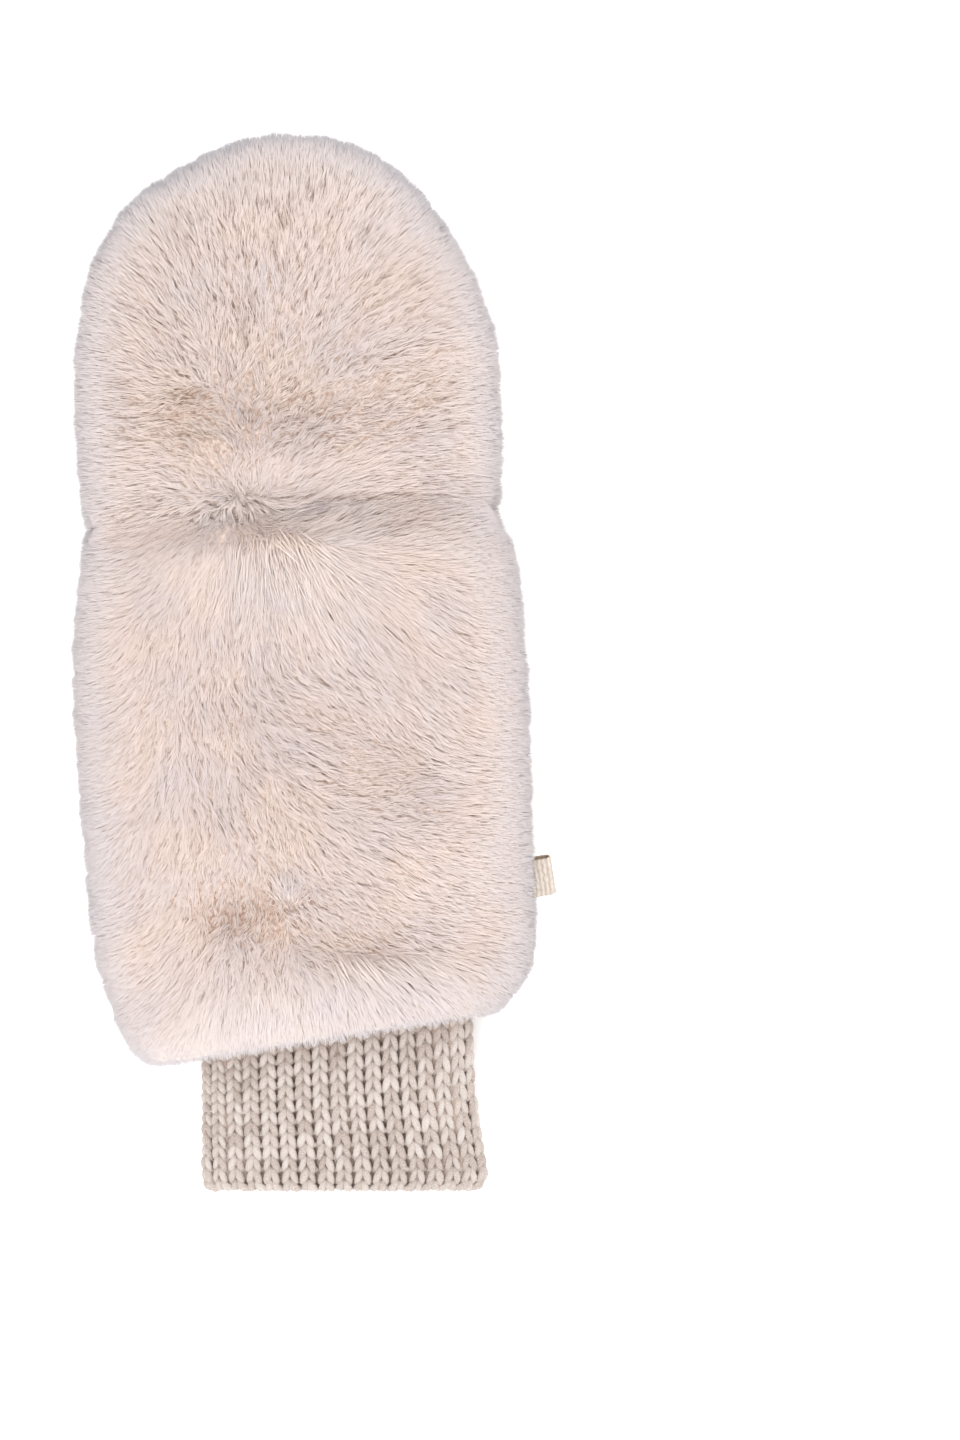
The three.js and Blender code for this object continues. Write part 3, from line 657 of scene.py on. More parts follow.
# %% Pile over a bag
TUFT = 2.2
FINE_STREAKS = (0.8, 7.0)
BROAD_STREAKS = (2.0, 11.0)
OUTLINE = (0.08, 0.85)
SUNK_WHERE_BARE = 0.9
LONGEST_HAIR = 17
LOWEST_TIP = 0.15
LOWEST_HAIR = 0.3
BEND_AT = 0.52
THINNEST = 0.18
THICKER_BY = 0.14
LEAN_OF_NORMALS = 0.35
HEM_SLOPE = 0.155
HEM_PALE = (1.0, 17.0)
# Along the mitten, where the painted shade round the outline grows, towards the cap's tip.
PAINTED_SHADE_TO_TIP = (195.0, 228.0)


def pile(name, at, table, places, turns, count, seed, comb, depth, replaces):
    """Hairs whose tips end on a bag's outside. comb gives the way and the flatness at x, y."""
    rng = np.random.default_rng(seed)
    place, turn, area = scatter(at, places, turns, count, rng)
    skin = at(place, turn)
    out = outwards(at, table, place, turn)
    way, flat = comb(skin[:, 0], skin[:, 1])
    level = on_back(skin, out)
    tuft, chance = nearest_centre(skin, TUFT, seed)
    fine = streaks(skin, way, *FINE_STREAKS, 1)
    broad = streaks(skin, way, *BROAD_STREAKS, 2)
    bare = roots_shown(skin, level, way)
    hair = hair_ways(out, way, flat, level, bare, chance, rng)

    # Tips end at uneven depths under the outside, and swell past it over the seam and in the outline.
    outer = 1 - smooth(np.abs(out[:, 2]), *OUTLINE)
    swell = lobes(skin, LOBE, seed + 5) + 0.6 * lobes(skin, SMALL_LOBE, seed + 6)
    drop = np.abs(rng.standard_normal(count)) * (0.28 + 0.3 * level)
    drop += (0.07 + 0.18 * level) * (fine + broad) + 0.15 * level * (chance[:, 3] - 0.5)
    drop += SUNK_WHERE_BARE * np.maximum(bare, 0) - (0.2 + seam_fill(skin, out) + outer * swell)
    tips = skin - out * drop[:, None]

    # The tips of a tuft cling together, and each hair bends outwards between its root and its tip.
    hold = (0.06 + 0.13 * level * (1 - 0.6 * np.maximum(-bare, 0)))[:, None]
    tips += hold * (group_mean(tips, tuft) - tips)
    upright = np.maximum((hair * out).sum(axis=1), 0.25)
    length = np.clip(depth / upright, depth, LONGEST_HAIR)[:, None]
    roots = tips - hair * length
    bends = roots + BEND_AT * (tips - roots) + out * (0.07 + 0.1 * flat)[:, None] * length * 0.7
    for ends, lowest in ((tips, LOWEST_TIP), (bends, LOWEST_HAIR), (roots, LOWEST_HAIR)):
        ends[:, 2] = np.maximum(ends[:, 2], lowest)

    # Normals lean back from the tips, so the pile is as bright to someone who looks against its lay.
    # rim also carries painted light: round the rim and near the hem the pile's colour is made paler, as
    # light from the sides makes it look.
    from_hem = skin[:, 1] - HEM_SLOPE * skin[:, 0]
    rim = np.maximum(1 - level, 0.8 * (1 - smooth(from_hem, *HEM_PALE)))
    widths = THINNEST + THICKER_BY * rng.random(count)
    above = np.where(out[:, 2:3] > -0.1, 1.0, 0.0) * rim[:, None] * UP
    turned = out + 1.2 * above + 0.4 * rng.standard_normal((count, 3))
    front = unit(unit(out + above) - LEAN_OF_NORMALS * hair + 0.3 * unit(turned))
    points, triangles = kites(roots, bends, tips, widths, turned, front)

    tone = 0.25 * (chance[:, 0] - 0.5) + 0.3 * (rng.random(count) - 0.5) - 0.4 * fine - 0.3 * broad
    print(f"{name}: {count / area:.1f} hairs to the square millimetre")
    # edge is painted shade: the pile's colour is greyed round its outline, more towards the cap's tip.
    make_mesh(name, points, triangles, fur, replaces, {
        "pile": np.tile([0.0, 0.5, 0.5, 1.0], count),
        "bare": np.repeat(bare, 4),
        "tone": np.repeat(tone, 4),
        "rim": np.repeat(rim, 4),
        "edge": np.repeat(outer * (0.8 + 0.6 * smooth(skin[:, 1], *PAINTED_SHADE_TO_TIP)), 4),
    }, np.repeat(front, 4, axis=0))


# %% [markdown]
# ## Faux fur
# The pile is acrylic and polyester fibre, knitted into a cloth and sheared. Its roots are dyed tan and
# its tips are cream, so wherever the hairs part, tan shows through. Along each hair the colour runs
# from root to tip, a little differently for each tuft. Roughness 0.6 gives the soft gleam of combed
# fibre, and the sheen on the shader's own socket gives the pale bloom where light grazes the many tips.

# %% Faux fur material
BARE_DARKENS = -0.26
TONE_SHARE = 0.18
# How strongly painted light pales the pile round the rim and near the hem.
RIM_PAINTED_LIGHT = 0.65
# How strongly painted shade greys the pile round its outline.
OUTLINE_PAINTED_SHADE = 0.52
# The dye differs softly over patches some 18 mm wide.
PATCHES = 55.0


def make_fur():
    material = new_material("faux_fur_combed_pile")
    tree = material.node_tree
    amount = {key: node(tree, "ShaderNodeAttribute", {"attribute_name": key}).outputs["Fac"]
              for key in ("pile", "bare", "tone", "rim", "edge")}
    shown = node(tree, "ShaderNodeMath", {"operation": "MULTIPLY_ADD", 1: BARE_DARKENS},
                 {0: amount["bare"], 2: amount["pile"]})
    varied = node(tree, "ShaderNodeMath", {"operation": "MULTIPLY_ADD", 1: TONE_SHARE},
                  {0: amount["tone"], 2: shown.outputs[0]})
    fibre = ramp(tree, varied.outputs[0], [
        (0.0, "#ab9183"), (0.3, "#ceb8ac"), (0.52, "#e8dad2"), (0.74, "#f0e4de"), (1.0, "#f3eae7"),
    ])
    place = node(tree, "ShaderNodeTexCoord")
    patches = node(tree, "ShaderNodeTexNoise", {"Scale": PATCHES, "Detail": 2.0},
                   {"Vector": place.outputs["Object"]})
    tint = ramp(tree, patches.outputs["Fac"], [(0.35, "#fffaf6"), (0.65, "#f8f6f8")])
    tinted = node(tree, "ShaderNodeMix", {"data_type": "RGBA", "blend_type": "MULTIPLY", 0: 1.0},
                  {6: fibre, 7: tint})
    # Painted light: round the rim and near the hem the pile's colour is mixed towards a pale grey-white.
    pale = node(tree, "ShaderNodeMath", {"operation": "MULTIPLY", 1: RIM_PAINTED_LIGHT}, {0: amount["rim"]})
    rim = node(tree, "ShaderNodeMix", {"data_type": "RGBA", 7: linear("#e7e0e0")},
               {0: pale.outputs[0], 6: tinted.outputs[2]})
    # Painted shade: round the outline the pile's colour is greyed towards a grey-lilac.
    outline_shade = node(tree, "ShaderNodeMath", {"operation": "MULTIPLY", 1: OUTLINE_PAINTED_SHADE}, {0: amount["edge"]})
    edge = node(tree, "ShaderNodeMix", {"data_type": "RGBA", 7: linear("#b9b8bf")},
                {0: outline_shade.outputs[0], 6: rim.outputs[2]})
    skin = node(tree, "ShaderNodeBsdfPrincipled", {
        "Roughness": 0.6, "IOR": 1.5, "Specular IOR Level": 0.3,
        "Sheen Weight": 0.25, "Sheen Roughness": 0.5, "Sheen Tint": linear("#f4ece6"),
    }, {"Base Color": edge.outputs[2]})
    node(tree, "ShaderNodeOutputMaterial", links={"Surface": skin.outputs[0]})
    return material


fur = make_fur()


# %% Pile of the cap and the hand
BACK_TURNS = (-0.06, 0.56)
PALM_TURNS = (0.56, 0.94)
CAP_PLACES = (0, 9.97)
HAIRS_OF_BACK = 95000
PILE_OF_BACK = 6.0
pile("cap_fur_back", cap_outside, CAP_SECTIONS, CAP_PLACES, BACK_TURNS, HAIRS_OF_BACK, 21,
     combed, PILE_OF_BACK, "fur_cap")
for part, places, seed in (("knuckles", (7.0, 12), 22), ("wrist", (0, 7.0), 23)):
    pile(f"hand_fur_{part}", hand_outside, HAND_SECTIONS, places, BACK_TURNS, HAIRS_OF_BACK, seed,
         combed, PILE_OF_BACK, "fur_hand")


# %% [markdown]
# One lock near the wrist stands up out of the combed pile, where the mitten was handled. It is white at
# the tips and throws the parted hair round it apart. Some four hundred hairs from one spot, fanned a
# little, make it.

# %% The standing lock
LOCK_AT = (-3.0, 37.0, 31.5)
LOCK_HAIRS = 420
LOCK_WIDTH = 0.22


def standing_lock():
    rng = np.random.default_rng(27)
    spread = rng.standard_normal((LOCK_HAIRS, 2)) * (1.0, 1.3)
    foot = np.array(LOCK_AT) + np.concatenate([spread, np.zeros((LOCK_HAIRS, 1))], axis=1)
    fan = np.stack([0.3 * spread[:, 0] + 0.1, 0.9 + 0.2 * spread[:, 1], np.full(LOCK_HAIRS, 0.7)], axis=-1)
    way = unit(fan + 0.12 * rng.standard_normal((LOCK_HAIRS, 3)))
    length = (4.5 + 3.5 * rng.random(LOCK_HAIRS))[:, None]
    face = np.tile([0.0, -0.5, 0.9], (LOCK_HAIRS, 1)) + 0.25 * rng.standard_normal((LOCK_HAIRS, 3))
    front = unit(np.tile([0.0, -0.2, 1.0], (LOCK_HAIRS, 1)))
    tips = foot + way * length
    bends = foot + way * length * 0.55
    points, triangles = kites(foot, bends, tips, np.full(LOCK_HAIRS, LOCK_WIDTH), face, front)
    zeros = np.zeros(len(points))
    make_mesh("hand_fur_lock", points, triangles, fur, "fur_hand", {
        "pile": np.tile([0.3, 0.85, 0.85, 1.1], LOCK_HAIRS),
        "bare": zeros, "tone": zeros, "rim": zeros, "edge": zeros,
    }, np.repeat(front, 4, axis=0))


standing_lock()


# %% Pile under the palm and on the thumb
def flat_towards(dx, dy):
    def comb(x, y):
        way = np.tile(unit(np.array([dx, dy, 0.0])), (len(x), 1))
        return way, np.full(len(x), 0.9)
    return comb


PILE_OF_PALM = 4.5
pile("cap_fur_palm", cap_outside, CAP_SECTIONS, CAP_PLACES, PALM_TURNS, 18000, 24,
     flat_towards(0, 1), PILE_OF_PALM, "fur_cap")
pile("hand_fur_palm", hand_outside, HAND_SECTIONS, (0, 12), PALM_TURNS, 24000, 25,
     flat_towards(0, -1), PILE_OF_PALM, "fur_hand")
pile("thumb_fur_pile", thumb_outside, THUMB_SECTIONS, (0.05, 8.95), (0, 1), 20000, 26,
     flat_towards(*THUMB_WAY), 3.0, "fur_thumb")


# %% [markdown]
# ## Underfur
# Between the long hairs the pile is a dense wool of short crimped fibres, tan and cream, that fills the
# cloth down to its knitted backing. It is drawn as one soft bag about 2 mm inside each bag of pile,
# with its own lumps. It stops light and sight as the real one does, so the long hairs above can be
# fewer, and in the cuff's mouth its inside is what one looks at. Where the long hairs part, it gives
# the tan patches.

# %% Underfur material
# Fibres a tenth of a millimetre apart would be too fine to show, so the crimp is drawn 1 mm wide.
CRIMP = 1000.0
BARE_DARKENS_WOOL = -0.22


def make_underfur():
    material = new_material("faux_fur_underwool")
    tree = material.node_tree
    place = node(tree, "ShaderNodeTexCoord")
    crimp = node(tree, "ShaderNodeTexNoise", {"Scale": CRIMP, "Detail": 5.0, "Roughness": 0.65},
                 {"Vector": place.outputs["Object"]})
    bare = node(tree, "ShaderNodeAttribute", {"attribute_name": "bare"})
    shown = node(tree, "ShaderNodeMath", {"operation": "MULTIPLY_ADD", 1: BARE_DARKENS_WOOL},
                 {0: bare.outputs["Fac"], 2: crimp.outputs["Fac"]})
    wool = ramp(tree, shown.outputs[0], [
        (0.22, "#ac8f7e"), (0.4, "#ccb4a6"), (0.52, "#e2d1c6"), (0.66, "#efe3dc"),
    ])
    bump = node(tree, "ShaderNodeBump", {"Strength": 0.7, "Distance": 0.0005},
                {"Height": crimp.outputs["Fac"]})
    skin = node(tree, "ShaderNodeBsdfPrincipled", {
        "Roughness": 0.85, "IOR": 1.5, "Specular IOR Level": 0.2,
        "Sheen Weight": 0.2, "Sheen Roughness": 0.5,
    }, {"Base Color": wool, "Normal": bump.outputs[0]})
    node(tree, "ShaderNodeOutputMaterial", links={"Surface": skin.outputs[0]})
    return material


underfur = make_underfur()


# %% A ring round the cuff
RING_STEPS = 1440


def cuff_ring(y, grow, count):
    """A ring round the cuff at a distance y from the hem, grown by grow, with points evenly round it."""
    along = (y + CUFF_VISIBLE) / CUFF_LENGTH
    place = np.interp(along, CUFF_SECTIONS[:, 0], np.arange(len(CUFF_SECTIONS)))
    fine = np.linspace(0, 1, RING_STEPS + 1)
    _, left, right, thick, height, slope = between(CUFF_SECTIONS, np.full(len(fine), place)).T
    base = height * CUFF_HEIGHT
    thinner = CUFF_THICKNESS * (1 - thick)
    ring = section_point(
        np.full(len(fine), y), left * CUFF_WIDTH + grow, right * CUFF_WIDTH + grow, slope,
        lambda x, y_here: base + thinner / 4 - grow,
        lambda x, y_here, rise: base + CUFF_THICKNESS - thinner / 2 + grow,
        fine,
    )
    lengths = np.concatenate([[0], np.cumsum(np.linalg.norm(np.diff(ring, axis=0), axis=1))])
    share = np.linspace(0, 1, count, endpoint=False) * lengths[-1]
    return np.stack([np.interp(share, lengths, ring[:, k]) for k in range(3)], axis=-1), lengths[-1]


# %% Bags of wool
WOOL_IN_SEAM = 0.75
WOOL_SINKS_WHERE_BARE = 0.8


def wool_rings(at, table, places, count):
    """Rings of points round a bag, with the lumps of its wool."""
    turns = np.linspace(0, 1, count, endpoint=False)
    rings = []
    for p in places:
        place = np.full(count, float(p))
        ring = at(place, turns)
        out = outwards(at, table, place, turns)
        level = on_back(ring, out)
        lumps = 0.4 * soft_noise(ring, 2.5, 3) + 0.3 * soft_noise(ring, 7.0, 4)
        shown = np.maximum(roots_shown(ring, level, combed(ring[:, 0], ring[:, 1])[0]), 0)
        rise = lumps * (0.3 + 0.7 * level) - WOOL_SINKS_WHERE_BARE * shown
        rings.append(ring + out * (rise + WOOL_IN_SEAM * seam_fill(ring, out))[:, None])
    return rings


def shell(name, outer, inner, replaces):
    """A wall between two rows of rings, joined at both of its ends."""
    rings = [*outer, *inner[::-1]]
    count = len(rings[0])
    points = np.concatenate(rings)
    last = (len(rings) - 1) * count
    k = np.arange(count)
    close = np.concatenate([
        np.stack([last + k, k, (k + 1) % count], -1),
        np.stack([last + k, (k + 1) % count, last + (k + 1) % count], -1),
    ])
    triangles = np.concatenate([grid_triangles(len(rings), count), close])
    over = smooth(points[:, 2], 0.3 * THICKNESS, 0.7 * THICKNESS)
    bare = roots_shown(points, over, combed(points[:, 0], points[:, 1])[0])
    make_mesh(name, points, triangles, underfur, replaces, {"bare": bare})


CAP_WOOL_UNDER = 2.3
HAND_WOOL_UNDER = 2.2
WOOL_UNDER_PALM = 2.0
LINING_UNDER = 9.0
LINING_UNDER_PALM = 5.0
ON_CUFF = 0.6
ROUND = 200
ROUND_THUMB = 64
# The wool has ten rings between two rows of a table, and the lining, which is smooth, has one.
hand_wool = fur_bag(HAND_SECTIONS, HAND_LENGTH - GAP / 2, 0, HAND_WOOL_UNDER, WOOL_UNDER_PALM)
hand_lining = fur_bag(HAND_SECTIONS, HAND_LENGTH - GAP / 2, 0, LINING_UNDER, LINING_UNDER_PALM)
shell(
    "hand_underfur",
    [cuff_ring(1.0, ON_CUFF, ROUND)[0],
     *wool_rings(hand_wool, HAND_SECTIONS, np.arange(1.6, 12.01, 0.1), ROUND)],
    [cuff_ring(3.0, ON_CUFF, ROUND)[0],
     *wool_rings(hand_lining, HAND_SECTIONS, np.arange(3, 12.01, 1), ROUND)],
    "fur_hand",
)
cap_wool = fur_bag(CAP_SECTIONS, CAP_LENGTH, CAP_START, CAP_WOOL_UNDER, WOOL_UNDER_PALM, CAP_WOOL_UNDER)
cap_lining = fur_bag(CAP_SECTIONS, CAP_LENGTH, CAP_START, LINING_UNDER, LINING_UNDER_PALM, LINING_UNDER)


def closed_tip(rings):
    middle = rings[-1].mean(axis=0)
    return [*rings, (rings[-1] - middle) * 0.02 + middle]


shell(
    "cap_underfur",
    closed_tip(wool_rings(cap_wool, CAP_SECTIONS, np.arange(0, 9.81, 0.1), ROUND)),
    closed_tip(wool_rings(cap_lining, CAP_SECTIONS, np.arange(0, 9.1, 1), ROUND)),
    "fur_cap",
)
thumb_wool = thumb_bag(1.6)
thumb_lining = thumb_bag(3.8)
shell(
    "thumb_underfur",
    wool_rings(thumb_wool, THUMB_SECTIONS, np.arange(0.5, 8.6, 0.25), ROUND_THUMB),
    wool_rings(thumb_lining, THUMB_SECTIONS, np.arange(1, 8.6, 0.5), ROUND_THUMB),
    "fur_thumb",
)

# %% [markdown]
# ## Ribbed knitted cuff
# The cuff is one-by-one rib: columns of knit stitches stand up as ribs and the columns between them
# sink. Seen from its cast-off end each knit stitch is an upside-down V of two plump yarn legs. The
# cloth is doubled, so at the edge the ribs turn over into the cuff. Each leg is a short tapered tube
# that dips under its neighbours; a bump map of stitches would lose the round yarn and the dark holes
# between the legs.

# %% Rib yarn material
def make_yarn():
    material = new_material("heathered_wool_blend_yarn")
    tree = material.node_tree
    strand = node(tree, "ShaderNodeUVMap", {"uv_map": "along_yarn"})
    stretched = node(tree, "ShaderNodeMapping", {"Scale": (2.2, 9.0, 1.0)}, {"Vector": strand.outputs[0]})
    fibres = node(tree, "ShaderNodeTexNoise", {"Scale": 1.6, "Detail": 4.0, "Roughness": 0.7},
                  {"Vector": stretched.outputs[0]})
    tone = node(tree, "ShaderNodeAttribute", {"attribute_name": "tone"})
    mixed = node(tree, "ShaderNodeMath", {"operation": "MULTIPLY_ADD", 1: 0.25},
                 {0: tone.outputs["Fac"], 2: fibres.outputs["Fac"]})
    heather = ramp(tree, mixed.outputs[0], [
        (0.34, "#ab998f"), (0.43, "#cabab0"), (0.5, "#dacdc4"), (0.58, "#e3d8d0"), (0.68, "#ece4df"),
    ])
    # The grey-lilac fibres of the blend lie in short flecks.
    apart = node(tree, "ShaderNodeMapping", {"Location": (7.0, 3.0, 0.0), "Scale": (2.0, 7.0, 1.0)},
                 {"Vector": strand.outputs[0]})
    grey = node(tree, "ShaderNodeTexNoise", {"Scale": 1.9, "Detail": 3.0, "Roughness": 0.6},
                {"Vector": apart.outputs[0]})
    fleck = node(tree, "ShaderNodeMapRange", {"From Min": 0.55, "From Max": 0.66, "To Max": 0.55},
                 {"Value": grey.outputs["Fac"]})
    blended = node(tree, "ShaderNodeMix", {"data_type": "RGBA", 7: linear("#b3a7a7")},
                   {0: fleck.outputs[0], 6: heather})
    # Painted shade: deep darkens the yarn towards #ad9788 at the legs' thin ends and in the cloth's
    # valleys.
    deep = node(tree, "ShaderNodeAttribute", {"attribute_name": "deep"})
    shaded = node(tree, "ShaderNodeMix", {"data_type": "RGBA", 7: linear("#ad9788")},
                  {0: deep.outputs["Fac"], 6: blended.outputs[2]})
    twist = node(tree, "ShaderNodeTexWave", {
        "Scale": 1.0, "Distortion": 1.5, "Detail": 2.0, "bands_direction": "DIAGONAL",
    }, {"Vector": stretched.outputs[0]})
    height = node(tree, "ShaderNodeMath", {"operation": "ADD"},
                  {0: twist.outputs["Fac"], 1: fibres.outputs["Fac"]})
    bump = node(tree, "ShaderNodeBump", {"Strength": 0.6, "Distance": 0.0002},
                {"Height": height.outputs[0]})
    skin = node(tree, "ShaderNodeBsdfPrincipled", {
        "Roughness": 0.85, "IOR": 1.5, "Specular IOR Level": 0.25,
        "Sheen Weight": 0.35, "Sheen Roughness": 0.6, "Sheen Tint": linear("#f2ebe6"),
    }, {"Base Color": shaded.outputs[2], "Normal": bump.outputs[0]})
    node(tree, "ShaderNodeOutputMaterial", links={"Surface": skin.outputs[0]})
    return material


yarn = make_yarn()

# %% The way along the doubled cuff
STITCH_HEIGHT = 3.2
YARN = 1.8
FOLD = CUFF_WALL / 2
RIB_STEPS = 6
FROM_EDGE = 0.4


def cuff_place(way):
    """y from the hem and the depth under the outside, at a distance way along the cloth from its fold."""
    edge = -CUFF_VISIBLE + FOLD + FROM_EDGE
    if way >= 0:
        return edge + way, 0.0
    angle = min(-way / FOLD, math.pi)
    inside = max(-way - math.pi * FOLD, 0.0)
    return edge - FOLD * math.sin(angle) + inside, FOLD * (1 - math.cos(angle))


def cuff_rows(way, shares, sideways, depth):
    """Points at shares of the way round, moved sideways and sunk by depth, and their outward ways."""
    y, under = cuff_place(way)
    at_fold = max(y, -CUFF_VISIBLE + FOLD)
    ring, around = cuff_ring(at_fold, -under, RING_STEPS)
    ring[:, 1] += y - at_fold
    tangent = unit(np.roll(ring, -4, axis=0) - np.roll(ring, 4, axis=0))
    turn = np.array([tangent[:, 2], np.zeros(RING_STEPS), -tangent[:, 0]]).T
    angle = min(max(-way / FOLD, 0), math.pi)
    out = turn * math.cos(angle) - np.array([0, math.sin(angle), 0])
    index = np.mod((shares + sideways / around) * RING_STEPS, RING_STEPS)
    low = np.floor(index).astype(int) % RING_STEPS
    high = (low + 1) % RING_STEPS
    t = (index - np.floor(index))[:, None]
    point = ring[low] * (1 - t) + ring[high] * t
    out = unit(out[low] * (1 - t) + out[high] * t)
    return point - out * depth[:, None], out


rib_shares = (3 * np.arange(RIBS) + 1.5) / (3 * RIBS)
edge_y, _ = cuff_place(0.0)
print("cuff perimeter at its edge, mm:", round(cuff_ring(edge_y, 0.0, 8)[1], 1))


# %% Yarn legs
# Columns, from end to end: sideways from the rib's middle, along the cloth, depth, share of YARN.
LEG = np.array([
    (1.42, -0.6, 1.6, 0.45),
    (1.44, 0.1, 1.0, 0.8),
    (1.33, 0.9, 0.65, 1.02),
    (1.05, 1.8, 0.5, 1.12),
    (0.70, 2.7, 0.52, 1.04),
    (0.44, 3.5, 0.8, 0.8),
    (0.27, 4.1, 1.3, 0.45),
])
# Columns: sideways from the valley's middle, depth, share of YARN.
BUMP = np.array([(-0.9, 2.4, 0.4), (-0.5, 1.8, 0.7), (0, 1.45, 0.85), (0.5, 1.8, 0.7), (0.9, 2.4, 0.4)])
SIDES = 7
LEG_STEP = 0.75
YARN_FLATNESS = 0.92


def legs(rows, rng):
    """Two legs for each stitch; chance moves, lifts and fattens each of them a little."""
    cords = []
    for row in rows:
        for hand in (-1, 1):
            slip = 0.22 * rng.standard_normal(RIBS)
            lift = 0.12 * rng.standard_normal(RIBS)
            fat = 1 + 0.08 * rng.standard_normal(RIBS)
            line = []
            for side, along, deep, thick in LEG:
                way = (row + 0.03 * hand) * STITCH_HEIGHT + along
                sideways = hand * (side + 0.05 * slip) + 0.3 * slip
                line.append((*cuff_rows(way, rib_shares, sideways, deep - lift), thick * fat))
            cords.append(line)
    return cords


def purl_bumps(rows, rng):
    """The heads of the stitches that lie across the valleys between the ribs."""
    cords = []
    for row in rows:
        lift = 0.15 * rng.standard_normal(RIBS)
        slip = 0.2 * rng.standard_normal(RIBS)
        line = []
        for side, deep, thick in BUMP:
            way = (row + 0.15) * STITCH_HEIGHT
            valley = rib_shares + 0.5 / RIBS
            line.append((*cuff_rows(way, valley, side + slip, deep - lift), thick * np.ones(RIBS)))
        cords.append(line)
    return cords


# %% Tubes of yarn
def tubes(cords, tones):
    """Closed tubes along short cords of equal count, each a list of (points, outward ways, thickness)."""
    steps = len(cords[0])
    all_points, all_triangles, all_uv, all_tone, all_painted_shade = [], [], [], [], []
    first = 0
    angles = np.arange(SIDES) * 2 * np.pi / SIDES
    for cord, tone in zip(cords, tones):
        line = np.stack([c[0] for c in cord], axis=1)
        out = np.stack([c[1] for c in cord], axis=1)
        thick = np.stack([c[2] for c in cord], axis=1)[..., None, None]
        ahead = unit(np.gradient(line, axis=1))
        side = unit(np.cross(ahead, out))
        up = np.cross(side, ahead)
        ring = side[:, :, None] * np.cos(angles)[None, None, :, None] \
            + up[:, :, None] * np.sin(angles)[None, None, :, None] * YARN_FLATNESS
        body = line[:, :, None] + ring * thick * YARN / 2
        body[..., 2] = np.maximum(body[..., 2], 0.1)
        ends = line[:, [0, -1]]
        count = len(line)
        block = np.concatenate([body.reshape(count, -1, 3), ends], axis=1)
        size = block.shape[1]
        grid = grid_triangles(steps, SIDES)[:, ::-1]
        k = np.arange(SIDES)
        start = np.stack([np.full(SIDES, steps * SIDES), k, (k + 1) % SIDES], -1)
        last = (steps - 1) * SIDES
        finish = np.stack([np.full(SIDES, steps * SIDES + 1), last + (k + 1) % SIDES, last + k], -1)
        faces = np.concatenate([grid, start, finish])
        all_triangles.append((first + np.arange(count)[:, None, None] * size + faces).reshape(-1, 3))
        all_points.append(block.reshape(-1, 3))
        along = np.repeat(np.arange(steps), SIDES) * LEG_STEP
        around = np.tile(np.abs(np.arange(SIDES) - SIDES / 2) * 2 / SIDES, steps)
        uv = np.concatenate([np.stack([along, around], -1), [[0, 0], [steps * LEG_STEP, 0]]])
        # Each leg lies somewhere else in the noise of the yarn, so no two legs look alike.
        shift = tone[:, None, None] * np.array([37.0, 11.0])
        all_uv.append((uv[None] + shift).reshape(-1, 2))
        all_tone.append(np.repeat(tone, size))
        # The thin ends dip under the neighbours, and painted shade darkens them.
        sunk = np.clip(1.1 - thick[..., 0, 0] * 1.3, 0, 1)
        all_painted_shade.append(np.concatenate([np.repeat(sunk, SIDES, axis=1), sunk[:, [0, -1]]], axis=1).ravel())
        first += count * size
    return tuple(np.concatenate(part) for part in (all_points, all_triangles, all_uv, all_tone, all_painted_shade))


knit_rng = np.random.default_rng(31)
stitch_rows = np.arange(-3, 14)
leg_cords = legs(stitch_rows, knit_rng)
bump_cords = purl_bumps(np.arange(1, 14), knit_rng)
calm_at_fold = np.repeat(np.where(stitch_rows < 1, 0.3, 0.8), 2)
leg_parts = tubes(leg_cords, [calm * (knit_rng.random(RIBS) - 0.5) for calm in calm_at_fold])
bump_parts = tubes(bump_cords, [knit_rng.random(RIBS) - 0.5 for _ in bump_cords])
print("legs and bumps, triangles:", len(leg_parts[1]), len(bump_parts[1]))


# %% The cloth under the stitches
CLOTH_STEP = 0.8
CLOTH_DEPTH = 1.05
VALLEY_DEPTH = 1.35


def cuff_cloth():
    # Rings lie coarsely inside the cuff, closely round its fold and four to a row of stitches outside.
    inside = np.arange(-44, -8, 4.0)
    fold = np.linspace(-6.6, 0, 9)
    ways = np.concatenate([inside, fold, np.arange(CLOTH_STEP, 52, CLOTH_STEP)])
    count = RIBS * RIB_STEPS
    shares = np.arange(count) / count
    wave = 0.5 + 0.5 * np.cos(2 * np.pi * (np.arange(count) % RIB_STEPS - RIB_STEPS / 2) / RIB_STEPS)
    rings, painted_shades = [], []
    for way in ways:
        purl = 0.5 * math.cos(2 * math.pi * way / STITCH_HEIGHT)
        depth = CLOTH_DEPTH + (1 - wave) * (VALLEY_DEPTH - purl)
        rings.append(cuff_rows(way, shares, np.zeros(count), depth)[0])
        # Painted shade: the cloth is darkened a little under the ribs and more in the valleys, most where
        # they are deepest.
        painted_shades.append(0.25 + (1 - wave) * (0.5 - 0.5 * purl))
    return np.concatenate(rings), grid_triangles(len(ways), count), np.concatenate(painted_shades)


# %% [markdown]
# Spun yarn is never clean: short fibres stand off it every way and blur the stitches. Particle hair
# would be the usual way to make them, but it isn't a mesh and wouldn't leave Blender, so they are kites
# like the pile's.

# %% Loose fibres
FUZZ = 8000
FUZZ_WIDTH = 0.09


